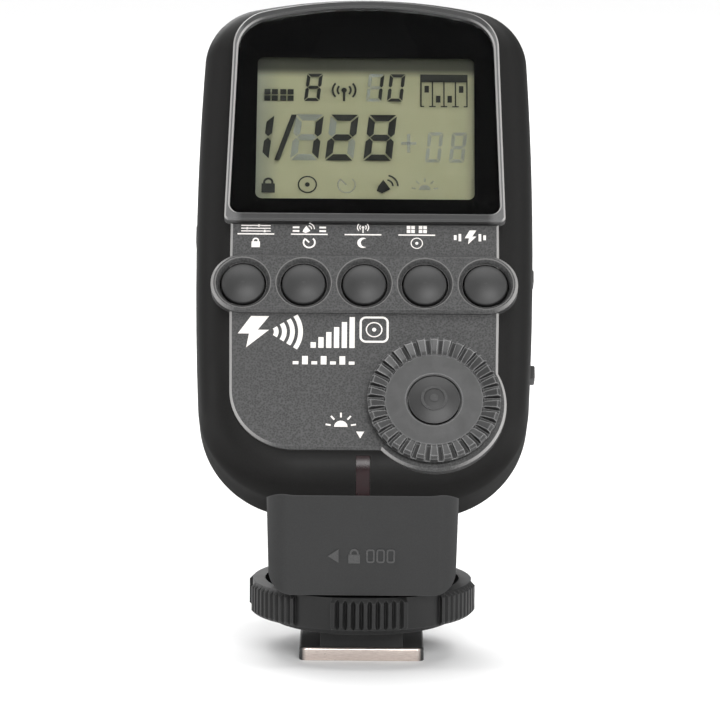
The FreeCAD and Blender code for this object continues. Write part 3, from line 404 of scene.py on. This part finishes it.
def foot_plate_material():
    """Black-coated plate whose front edge is worn and machined bright."""
    look = Look("foot_plate", Specular_IOR_Level=0.5)
    place = look.node("SeparateXYZ", {0: look.coordinates})
    towards = look.node("SeparateXYZ", {0: look.node("NewGeometry").outputs["Normal"]}).outputs[1]
    front = look.spread(towards, -0.75, -0.55, 1.0, 0.0)
    brushed = look.noise(0.10, detail=4.0, rough=0.7, at=look.place(stretch=(0.08, 1, 1)))
    patch = look.noise(1.4, detail=4.0, rough=0.65)
    flank = look.math("ABSOLUTE", place.outputs[0])
    between = look.spread(flank, PLATE_BARE_HALF[0] * MM, PLATE_BARE_HALF[1] * MM, 1.0, 0.0)
    bare = look.math("MULTIPLY", front, between)
    bare = look.math("MULTIPLY", bare, look.spread(patch, 0.25, 0.38, 0.6, 1.0))
    silver = look.blend(look.spread(brushed, 0.3, 0.7), (0.62, 0.52, 0.47), (0.88, 0.78, 0.72))
    black = look.blend(look.spread(patch, 0.3, 0.7), grey(0.014), grey(0.022))
    look.colour(look.blend(bare, black, silver))
    look.tree.links.new(bare, look.shader.inputs["Metallic"])
    look.rough(look.math("MULTIPLY_ADD", brushed, 0.2, look.math("MULTIPLY_ADD", bare, -0.12, 0.34)))
    return look.bump(brushed, 0.004).material


def steel_material():
    return metal("plain_steel", grey(0.42), grey(0.60), 0.30, streak=(1, 1, 0.1)).material


def screw_material():
    return metal("dark_screw", grey(0.10), grey(0.17), 0.34).material


def spring_metal_material():
    return metal("spring_metal", (0.55, 0.54, 0.50), (0.72, 0.70, 0.66), 0.28).material


def contact_material():
    return metal("gold_contact", (0.72, 0.50, 0.22), (0.88, 0.66, 0.32), 0.22, grain=0.2).material


MATERIALS = {
    "case": case_material,
    "panel": panel_material,
    "window": window_material,
    "mask": mask_material,
    "light_guide": light_guide_material,
    "inner_plastic": inner_plastic_material,
    "dial": dial_material,
    "steel": steel_material,
    "cap": cap_material,
    "red_lens": red_lens_material,
    "lamp": lamp_material,
    "board": board_material,
    "switch_body": switch_material,
    "rubber_strip": rubber_material,
    "cell_wrap": cell_material,
    "spring_metal": spring_metal_material,
    "screw_steel": screw_material,
    "foot_plastic": foot_plastic_material,
    "foot_metal": foot_plate_material,
    "contact_metal": contact_material,
    "ring_plastic": ring_material,
    "lcd": light_guide_material,
}


def dress_cad_nodes():
    """Gives every CAD node the procedural material of its slot in the record."""
    made = {slot: make() for slot, make in MATERIALS.items()}
    for node in NODES.values():
        slot = node.data.materials[0].name.split(".")[0]
        node.material_slots[0].material = made[slot]
    NODES["display_hood"].material_slots[0].material = hood_material()
    NODES["button_bar"].material_slots[0].material = bar_material()


def flatten(name):
    """Gives a node of flat faces plain shading, so that nothing seems to bend at its corners."""
    for polygon in NODES[name].data.polygons:
        polygon.use_smooth = False


def soften(name, width):
    """Rounds a CAD node's sharp edges by width millimetres; its own mesh stays as it is."""
    node = NODES[name]
    for polygon in node.data.polygons:
        polygon.use_smooth = True
    weld = node.modifiers.new("weld", "WELD")
    weld.merge_threshold = 0.001 * MM
    flat = node.modifiers.new("flat", "DECIMATE")
    flat.decimate_type = "DISSOLVE"
    flat.angle_limit = math.radians(0.6)
    bevel = node.modifiers.new("bevel", "BEVEL")
    bevel.width = width * MM
    bevel.segments = 2
    bevel.limit_method = "ANGLE"
    bevel.angle_limit = math.radians(28)
    normals = node.modifiers.new("normals", "WEIGHTED_NORMAL")
    normals.keep_sharp = True


def mesh_object(name, shape, material, place=Matrix()):
    """Makes an object of one material from an edit mesh, and frees the edit mesh."""
    data = bpy.data.meshes.new(name)
    shape.to_mesh(data)
    shape.free()
    data.materials.append(material)
    made = bpy.data.objects.new(name, data)
    bpy.context.scene.collection.objects.link(made)
    made.matrix_world = place
    return made


# ---- printed marks and display segments --------------------------------------------------------------
class Marks:
    """Flat shapes of one ink, drawn in millimetres on a plane and given a small thickness."""

    def __init__(self, z, rise=PRINT_RISE, lean=0.0):
        self.mesh = bmesh.new()
        self.z = z
        self.rise = rise
        self.lean = math.tan(math.radians(lean))
        self.base = 0.0

    def polygon(self, points):
        low, high = self.z * MM, (self.z + self.rise) * MM
        flat = [((x + (y - self.base) * self.lean) * MM, y * MM) for x, y in points]
        under = [self.mesh.verts.new((x, y, low)) for x, y in flat]
        over = [self.mesh.verts.new((x, y, high)) for x, y in flat]
        self.mesh.faces.new(over)
        self.mesh.faces.new(under[::-1])
        for i in range(len(flat)):
            j = (i + 1) % len(flat)
            self.mesh.faces.new((under[i], under[j], over[j], over[i]))

    def rectangle(self, x0, x1, y0, y1):
        self.polygon([(x0, y0), (x1, y0), (x1, y1), (x0, y1)])

    def stroke(self, start, end, width):
        """Straight bar with square ends."""
        way = Vector((end[0] - start[0], end[1] - start[1])).normalized() * width / 2
        side = Vector((way.y, -way.x))
        a, b = Vector(start), Vector(end)
        self.polygon([tuple(a + side), tuple(b + side), tuple(b - side), tuple(a - side)])

    def arc(self, x, y, radius, width, start, end, steps=20):
        """Part of a ring, from start to end degrees, anticlockwise; long arcs are made of two."""
        if end - start > 120:
            middle = (start + end) / 2
            self.arc(x, y, radius, width, start, middle, steps)
            self.arc(x, y, radius, width, middle, end, steps)
            return
        angles = [math.radians(start + (end - start) * i / steps) for i in range(steps + 1)]
        outer, inner = radius + width / 2, radius - width / 2
        self.polygon([(x + outer * math.cos(a), y + outer * math.sin(a)) for a in angles]
                     + [(x + inner * math.cos(a), y + inner * math.sin(a)) for a in angles[::-1]])

    def ring(self, x, y, radius, width):
        self.arc(x, y, radius, width, 0, 360, steps=12)

    def dot(self, x, y, radius):
        angles = [math.radians(15 * i) for i in range(24)]
        self.polygon([(x + radius * math.cos(a), y + radius * math.sin(a)) for a in angles])

    def frame(self, x0, x1, y0, y1, width, corner):
        """Outline of a rectangle with round corners."""
        half = width / 2
        self.rectangle(x0 + corner, x1 - corner, y0 - half, y0 + half)
        self.rectangle(x0 + corner, x1 - corner, y1 - half, y1 + half)
        self.rectangle(x0 - half, x0 + half, y0 + corner, y1 - corner)
        self.rectangle(x1 - half, x1 + half, y0 + corner, y1 - corner)
        for x, y, start in ((x1 - corner, y1 - corner, 0), (x0 + corner, y1 - corner, 90),
                            (x0 + corner, y0 + corner, 180), (x1 - corner, y0 + corner, 270)):
            self.arc(x, y, corner, width, start, start + 90, steps=8)

    def padlock(self, x, y, size):
        """Padlock as tall as size, standing on y."""
        half = size * 0.36
        body_top = y + size * 0.55
        shackle = size * 0.22
        bar = size * 0.12
        centre = y + size * 0.62
        self.rectangle(x - half, x + half, y, body_top)
        self.arc(x, centre, shackle, bar, 0, 180)
        for side in (-1, 1):
            leg = x + side * shackle
            self.rectangle(leg - bar / 2, leg + bar / 2, body_top, centre)

    def target(self, x, y, radius):
        self.ring(x, y, radius, radius * 0.16)
        self.dot(x, y, radius * 0.27)

    def timer(self, x, y, radius, width):
        self.arc(x, y, radius, width, -230, 50)
        self.stroke((x, y), (x - radius * 0.62, y + radius * 0.62), width)

    def speaker(self, x, y, size):
        """Horn with two sound waves, turned up to the right."""
        self.polygon([(x - size * 0.50, y - size * 0.30), (x - size * 0.22, y - size * 0.44),
                      (x + size * 0.22, y - size * 0.20), (x - size * 0.16, y + size * 0.34),
                      (x - size * 0.42, y - size * 0.04)])
        for share in (0.36, 0.62):
            self.arc(x - size * 0.02, y - size * 0.02, size * share, size * 0.09, 0, 78, steps=10)

    def lamp(self, x, y, size):
        """Half dome with rays."""
        self.arc(x, y - size * 0.3, size * 0.17, size * 0.34, 0, 180)
        for angle in (10, 50, 90, 130, 170):
            a = math.radians(angle)
            ray = Vector((math.cos(a), math.sin(a))) * size
            foot = Vector((x, y - size * 0.3))
            self.stroke(tuple(foot + ray * 0.52), tuple(foot + ray * 0.78), size * 0.09)

    def antenna(self, x, y, size):
        """Mast with waves on both sides."""
        top = y + size * 0.68
        self.stroke((x, y), (x, y + size * 0.62), size * 0.13)
        self.dot(x, top, size * 0.15)
        for share in (0.36, 0.62):
            for start in (-42, 138):
                self.arc(x, top, size * share, size * 0.11, start, start + 84, steps=10)

    def tiles(self, x, y, size):
        """Two by two squares: a group."""
        gap = size * 0.10
        for i in (-1, 0):
            for j in (0, 1):
                left = x + i * size * 0.56 + gap / 2
                low = y + j * size * 0.55
                self.rectangle(left, left + size * 0.56 - gap, low, low + size * 0.55 - gap)

    def sliders(self, x, y, width, height):
        """Three level bars, each with a knob."""
        for i, knob in enumerate((0.3, -0.3, 0.1)):
            level = y + height * (0.12 + 0.38 * i)
            self.stroke((x - width / 2, level), (x + width / 2, level), height * 0.13)
            self.dot(x + knob * width, level, height * 0.17)

    def moon(self, x, y, radius):
        angles = [math.radians(60 + 240 * i / 24) for i in range(25)]
        outer = [(x + radius * math.cos(a), y + radius * math.sin(a)) for a in angles]
        span = [math.radians(285 - 210 * i / 18) for i in range(1, 18)]
        inner = [(x + radius * (0.42 + 0.80 * math.cos(a)), y + radius * 0.80 * math.sin(a)) for a in span]
        self.polygon(outer + inner)

    def bolt(self, x, y, width, height):
        """Flash bolt, standing on y."""
        shares = ((0.10, 0.0), (0.62, 0.56), (0.36, 0.56), (0.62, 1.0), (0.20, 1.0), (-0.10, 0.44),
                  (0.16, 0.44))
        self.polygon([(x + width * (u - 0.26), y + height * v) for u, v in shares])

    def digit(self, shown, x, y, width, height, thick):
        """Seven-segment digit; shown names its segments a to g."""
        self.base = y
        t = thick
        gap = thick * 0.10
        middle = y + height / 2
        level = {"a": y + height - t / 2, "g": middle, "d": y + t / 2}
        for name in shown:
            if name in "ad":
                inward = -1 if name == "a" else 1
                edge = level[name] - inward * t / 2
                self.polygon([(x + gap, edge), (x + width - gap, edge),
                              (x + width - t - gap, edge + inward * t),
                              (x + t + gap, edge + inward * t)][::-inward])
            elif name == "g":
                self.polygon([(x + t * 0.5 + gap, middle), (x + t + gap, middle - t / 2),
                              (x + width - t - gap, middle - t / 2), (x + width - t * 0.5 - gap, middle),
                              (x + width - t - gap, middle + t / 2), (x + t + gap, middle + t / 2)])
            else:
                right = name in "bc"
                top = name in "bf"
                edge = x + width if right else x
                inward = -1 if right else 1
                far = y + height - gap * 1.5 if top else y + gap * 1.5
                step = -1 if top else 1
                near = middle - step * gap * 1.2
                points = [(edge, far + step * gap), (edge + inward * t, far + step * (t + gap)),
                          (edge + inward * t, near - step * t * 0.5), (edge + inward * t * 0.5, near),
                          (edge, near - step * t * 0.5)]
                self.polygon(points if inward * step < 0 else points[::-1])
        self.base = 0.0

    def finish(self, name, material, body="root", plane=FACE):
        bmesh.ops.recalc_face_normals(self.mesh, faces=self.mesh.faces)
        made = mesh_object(name, self.mesh, material, plane)
        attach(made, body)
        return made


DIGITS = {"0": "abcdef", "1": "bc", "2": "abged", "8": "abcdefg"}
SMALL_DIGIT = {"width": 2.35, "height": 4.7, "thick": 0.52}
LARGE_DIGIT = {"width": 4.25, "height": 7.8, "thick": 1.05}
FAINT_DIGIT = {"width": 2.3, "height": 5.1, "thick": 0.55}
DIGIT_LEAN = 6.0                   # degrees
UPPER_ROW = 57.7                   # foot of the small digits
LARGE_ROW = 47.6                   # foot of the large digits
ICON_ROW = 43.5                    # middle of the icons
SEGMENT_BASE = LCD_FACE + SEGMENT_GAP


def segments_on():
    """The dark segments: two settings and the switches above, a fraction in the middle, icons below.

    They float a little above the reflecting layer, as in the real glass, and so cast a soft shadow on it.
    """
    marks = Marks(SEGMENT_BASE, lean=DIGIT_LEAN)
    for shown, x in (("8", -9.4), ("1", 0.0), ("0", 3.2)):
        marks.digit(DIGITS[shown], x, UPPER_ROW, **SMALL_DIGIT)
    for shown, x in (("1", -18.9), ("1", -11.4), ("2", -6.1), ("8", -0.3)):
        marks.digit(DIGITS[shown], x, LARGE_ROW, **LARGE_DIGIT)
    marks.lean = 0.0
    slash_top = LARGE_ROW + 7.75
    marks.polygon([(-13.75, LARGE_ROW), (-12.95, LARGE_ROW), (-10.45, slash_top), (-11.25, slash_top)])
    marks.tiles(-14.4, UPPER_ROW, 2.0)
    marks.tiles(-12.0, UPPER_ROW, 2.0)
    marks.antenna(-3.3, UPPER_ROW, 2.8)
    marks.padlock(-14.6, ICON_ROW - 1.4, 2.8)
    marks.target(-8.7, ICON_ROW, 1.35)
    marks.speaker(3.2, ICON_ROW - 0.1, 2.9)
    switch_icon(marks, 8.3, 15.5, UPPER_ROW - 0.7, UPPER_ROW + 4.7)
    dark = Look("segment_on", Roughness=0.5, Specular_IOR_Level=0.2)
    dark.colour(dark.blend(dark.noise(0.6), (0.020, 0.022, 0.018), (0.028, 0.030, 0.025)))
    marks.finish("segments_on", dark.material)


def segments_off():
    """Segments that are switched off and show as faint shapes, just under the dark ones."""
    marks = Marks(SEGMENT_BASE - PRINT_RISE, lean=DIGIT_LEAN)
    marks.digit(DIGITS["8"], 0.0, UPPER_ROW, **SMALL_DIGIT)
    for x in (-11.4, -6.1):
        marks.digit(DIGITS["8"], x, LARGE_ROW, **LARGE_DIGIT)
    for shown, x in (("0", 9.0), ("8", 12.6)):
        marks.digit(DIGITS[shown], x, LARGE_ROW - 0.2, **FAINT_DIGIT)
    marks.lean = 0.0
    marks.stroke((5.4, LARGE_ROW + 3.0), (7.7, LARGE_ROW + 3.0), 0.5)
    marks.stroke((6.55, LARGE_ROW + 1.4), (6.55, LARGE_ROW + 4.6), 0.5)
    marks.timer(-2.8, ICON_ROW, 1.3, 0.2)
    marks.lamp(9.0, ICON_ROW, 2.6)
    faint = Look("segment_off", Roughness=0.6, Specular_IOR_Level=0.2, Alpha=0.22)
    faint.colour(faint.blend(faint.noise(1.5), (0.25, 0.31, 0.36), (0.29, 0.35, 0.40)))
    marks.finish("segments_off", faint.material)


def switch_icon(marks, x0, x1, y0, y1):
    """Block of four small switches."""
    count = 4
    pitch = (x1 - x0 - 0.2) / count
    marks.rectangle(x0, x1, y1 - 1.3, y1)
    for i in range(count + 1):
        x = x0 + 0.1 + i * pitch
        marks.rectangle(x - 0.1, x + 0.1, y0, y1 - 1.3)
        foot = pitch * 0.28
        marks.rectangle(max(x0, x - foot), min(x1, x + foot), y0 - 0.18, y0)
    for i, raised in enumerate((True, False, False, True)):
        x = x0 + 0.1 + (i + 0.5) * pitch
        y = y0 + (2.3 if raised else 0.6)
        marks.rectangle(x - 0.34, x + 0.34, y, y + 1.15)


def ground_material():
    """Greenish and faintly mottled, shaded along its upper edge and sides by the case round it."""
    look = Look("display_ground", Roughness=0.55, Specular_IOR_Level=0.25)
    place = look.node("SeparateXYZ", {0: look.coordinates})
    across, up = place.outputs[0], place.outputs[1]
    mottle = look.noise(5.0, detail=3.0)
    tone = look.blend(look.spread(mottle, 0.3, 0.7), (0.338, 0.342, 0.205), (0.368, 0.370, 0.230))
    left = look.spread(across, -VIEW_HALF * MM, -(VIEW_HALF - 3.6) * MM, 1.0, 0.0)
    tone = look.blend(look.math("MULTIPLY", left, 0.75), tone, (0.21, 0.23, 0.19))
    right = look.spread(across, (VIEW_HALF - 1.6) * MM, VIEW_HALF * MM, 0.0, 1.0)
    tone = look.blend(look.math("MULTIPLY", right, 0.6), tone, (0.17, 0.17, 0.12))
    limits = {"Value": up, "From Min": (VIEW_HIGH - 3.3) * MM, "From Max": (VIEW_HIGH - 1.4) * MM}
    shade = look.node("MapRange", limits, interpolation_type="SMOOTHSTEP").outputs["Result"]
    tone = look.blend(look.math("MULTIPLY", shade, 0.93), tone, (0.030, 0.032, 0.026))
    look.colour(tone)
    return look.bump(look.noise(0.15), 0.001).material


def display_ground():
    """The display's reflecting layer, which takes the place of the plain glass."""
    shape = bmesh.new()
    bmesh.ops.create_grid(shape, x_segments=36, y_segments=28, size=0.5)
    for vert in shape.verts:
        x = vert.co.x * 2 * LCD_HALF_WIDE
        y = (LCD_LOW + LCD_HIGH) / 2 + vert.co.y * (LCD_HIGH - LCD_LOW)
        vert.co = Vector((x, y, LCD_FACE)) * MM
    bmesh.ops.solidify(shape, geom=shape.faces[:], thickness=LCD_THICK * MM)
    bmesh.ops.recalc_face_normals(shape, faces=shape.faces)
    ground = mesh_object("display_ground", shape, ground_material(), FACE)
    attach(ground, "root")
    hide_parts("lcd_panel")


def white_ink():
    look = Look("white_ink", Specular_IOR_Level=0.4)
    grain = look.noise(0.16, detail=2.0)
    worn = look.noise(2.5, detail=5.0, rough=0.7)
    tone = look.blend(look.spread(grain, 0.3, 0.7), (0.66, 0.63, 0.60), (0.82, 0.79, 0.76))
    look.colour(look.blend(look.spread(worn, 0.62, 0.8, 0.0, 0.35), tone, grey(0.30)))
    look.rough(look.math("MULTIPLY_ADD", grain, 0.15, 0.4))
    return look.bump(grain, 0.004).material


def button_labels(ink):
    """Over each button, a pictogram for what it does, a line, and one for what holding it down does."""
    columns = (-16.3, -8.3, -0.26, 7.8)
    line = 34.86
    over = 35.2      # foot of the upper pictograms
    under = 33.5     # middle of the lower ones
    for x in columns:
        ink.rectangle(x - 2.75, x + 2.75, line - 0.10, line + 0.10)
    mode, buzzer, channel, group = columns
    ink.sliders(mode, over, 4.4, 1.2)
    ink.speaker(buzzer - 0.2, over + 0.55, 1.6)
    for side in (-1, 1):
        middle = buzzer + side * 2.0
        for level in (over + 0.05, over + 0.65):
            ink.rectangle(middle - 0.5, middle + 0.5, level, level + 0.3)
    ink.antenna(channel, over - 0.05, 1.35)
    for side in (-1, 1):
        ink.tiles(group + side * 0.9, over, 1.2)
    ink.padlock(mode, under - 0.85, 1.75)
    ink.timer(buzzer, under, 0.85, 0.24)
    ink.moon(channel, under, 0.85)
    ink.target(group, under, 0.85)


def test_label(ink):
    """Flash bolt between bars that grow towards it."""
    x, y = 15.75, 34.5
    ink.bolt(x + 0.1, y - 1.1, 2.4, 2.3)
    for side in (-1, 1):
        for i in (0, 1):
            left = x + side * (1.5 + 0.7 * i) - 0.2
            ink.rectangle(left, left + 0.4, y - 0.6 + 0.2 * i, y + 0.6 - 0.2 * i)


def panel_prints():
    """White pictograms that stand where the real panel has words."""
    ink = Marks(0.0)
    button_labels(ink)
    test_label(ink)
    emblem(ink)
    ink.lamp(-3.3, 4.35, 2.9)
    ink.polygon([(-0.45, 1.65), (0.15, 2.75), (-1.05, 2.75)])
    ink.finish("panel_print", white_ink())


def dial_marks(material):
    """Raised ring and dot on the cap in the middle of the dial; they go down with it."""
    ring = Marks(SET_CAP_TOP, rise=0.16)
    ring.ring(DIAL_X, DIAL_Y, 1.75, 0.4)
    ring.finish("set_ring", material, body="set_button")
    dot = Marks(SET_CAP_TOP, rise=0.24)
    dot.dot(DIAL_X, DIAL_Y, 0.6)
    dot.finish("set_dot", material, body="set_button")


def emblem(ink):
    """Plain graphic of a flash bolt, radio waves and rising bars, with a framed dot beside it."""
    ink.bolt(-16.4, 16.2, 6.4, 5.1)
    for radius in (1.3, 2.5, 3.7, 4.9):
        ink.arc(-14.3, 18.75, radius, 0.7, -33, 33, steps=14)
    for i in range(6):
        left = -7.9 + i * 1.15
        ink.rectangle(left, left + 0.78, 16.2, 17.1 + i * 0.83)
    ink.frame(-0.5, 3.5, 17.25, 21.2, 0.32, 0.8)
    ink.target(1.5, 19.22, 1.15)
    for i in range(7):
        left = -10.5 + i * 1.38
        ink.rectangle(left, left + 0.85, 13.5, 14.0 + 0.85 * (i % 2))


def block_marks(material):
    """Raised arrow, padlock and frames on the front of the foot housing: which way the ring locks."""
    tip, tail, level = BLOCK_ARROW
    arrow = Marks(0.13, rise=0.05)
    arrow.polygon([(tip, level), (tail, level - 1.0), (tail, level + 1.0)])
    arrow.finish("lock_arrow", material, plane=BLOCK)
    sign = Marks(-0.02, rise=0.14)
    sign.padlock(-1.2, level - 1.1, 2.4)
    for i in range(3):
        left = 0.7 + 1.5 * i
        sign.frame(left, left + 1.0, level - 0.9, level + 0.9, 0.24, 0.3)
    sign.finish("lock_sign", material, plane=BLOCK)


def relief_plastic():
    """Plastic a little paler and glossier than the foot housing, for marks that stand out."""
    look = Look("relief_plastic", Specular_IOR_Level=0.5)
    grain = look.noise(0.2, detail=3.0)
    look.colour(look.blend(look.spread(grain, 0.3, 0.7), grey(0.030), grey(0.052)))
    look.rough(look.math("MULTIPLY_ADD", grain, 0.15, 0.36))
    return look.bump(grain, 0.003).material


# ---- stage, lights and camera ------------------------------------------------------------------------
def stage_floor():
    """Pale round floor, so wide that it fills the view from every side."""
    shape = bmesh.new()
    bmesh.ops.create_circle(shape, cap_ends=True, radius=40.0, segments=96)
    look = Look("pale_floor", Roughness=0.9, Specular_IOR_Level=0.1)
    look.colour(look.blend(look.noise(400.0), grey(0.86), grey(0.88)))
    mesh_object("floor", shape, look.material)


def area_light(name, watts, size, azimuth, elevation, distance=1.2):
    """Soft box that looks at the object. Azimuth 0 is in front of it, 90 on its right side (+X)."""
    a = math.radians(azimuth)
    e = math.radians(elevation)
    outward = Vector((math.sin(a) * math.cos(e), -math.cos(a) * math.cos(e), math.sin(e)))
    data = bpy.data.lights.new(name, "AREA")
    data.shape = "RECTANGLE"
    data.size = size[0]
    data.size_y = size[1]
    data.energy = watts
    light = bpy.data.objects.new(name, data)
    light.location = LIGHT_AIM + outward * distance
    light.rotation_mode = "QUATERNION"
    light.rotation_quaternion = outward.to_track_quat("Z", "Y")
    bpy.context.scene.collection.objects.link(light)


def studio_lights():
    area_light("key_front", 16.0, (0.9, 0.4), 12, 26, distance=1.4)
    area_light("behind", 5.0, (0.7, 0.5), 200, 28)
    area_light("side_left", 4.0, (0.25, 0.9), -80, 20)
    area_light("side_right", 4.0, (0.25, 0.9), 80, 20)
    sun = bpy.data.lights.new("overhead", "SUN")
    sun.energy = 2.9
    sun.angle = math.radians(70)
    overhead = bpy.data.objects.new("overhead", sun)
    overhead.rotation_euler = (math.radians(-18), 0, 0)
    bpy.context.scene.collection.objects.link(overhead)


def studio_world():
    """Even pale surroundings, darker overhead in front so that the window doesn't mirror a bright sky."""
    world = bpy.data.worlds.new("studio")
    world.use_nodes = True
    bpy.context.scene.world = world
    tree = world.node_tree
    background = tree.nodes["Background"]
    direction = tree.nodes.new("ShaderNodeTexCoord").outputs["Generated"]
    glare = Vector((0, -math.sin(math.radians(GLARE_TILT)), math.cos(math.radians(GLARE_TILT))))
    dot = tree.nodes.new("ShaderNodeVectorMath")
    dot.operation = "DOT_PRODUCT"
    dot.inputs[1].default_value = glare
    tree.links.new(direction, dot.inputs[0])
    ramp = tree.nodes.new("ShaderNodeMapRange")
    ramp.inputs["From Min"].default_value = 0.80
    ramp.inputs["From Max"].default_value = 0.96
    ramp.inputs["To Min"].default_value = 0.26
    ramp.inputs["To Max"].default_value = 0.03
    tree.links.new(dot.outputs["Value"], ramp.inputs["Value"])
    tree.links.new(ramp.outputs["Result"], background.inputs["Strength"])
    background.inputs["Color"].default_value = (1.0, 1.0, 1.0, 1.0)


def studio_camera():
    data = bpy.data.cameras.new("camera")
    data.lens = CAMERA_LENS
    data.sensor_width = 36.0
    data.clip_start = 0.01
    data.clip_end = 200.0
    data.dof.use_dof = False
    camera = bpy.data.objects.new("camera", data)
    bpy.context.scene.collection.objects.link(camera)
    pitch = math.radians(CAMERA_PITCH)
    roll = math.radians(CAMERA_ROLL)
    level = Vector((1, 0, 0))
    ahead = Vector((0, math.cos(pitch), -math.sin(pitch)))
    upward = level.cross(ahead)
    right = level * math.cos(roll) + upward * math.sin(roll)
    turn = Matrix((right, right.cross(ahead), -ahead)).transposed().to_4x4()
    camera.matrix_world = Matrix.Translation(Vector(CAMERA_PLACE) * MM) @ turn
    bpy.context.scene.camera = camera


# ---- building it all ---------------------------------------------------------------------------------
dress_cad_nodes()
for node in ("dial", "lock_ring"):
    soften(node, 0.10)
flatten("display_window")
for node in ("foot_plate", "clamp_plate", "foot_neck", "thread_collar", "battery_door", "power_knob",
             "beam_knob"):
    soften(node, 0.12)
display_ground()
segments_on()
segments_off()
panel_prints()
relief = relief_plastic()
dial_marks(relief)
block_marks(relief)
stage_floor()
studio_lights()
studio_world()
studio_camera()
bpy.context.scene.view_settings.view_transform = "Standard"
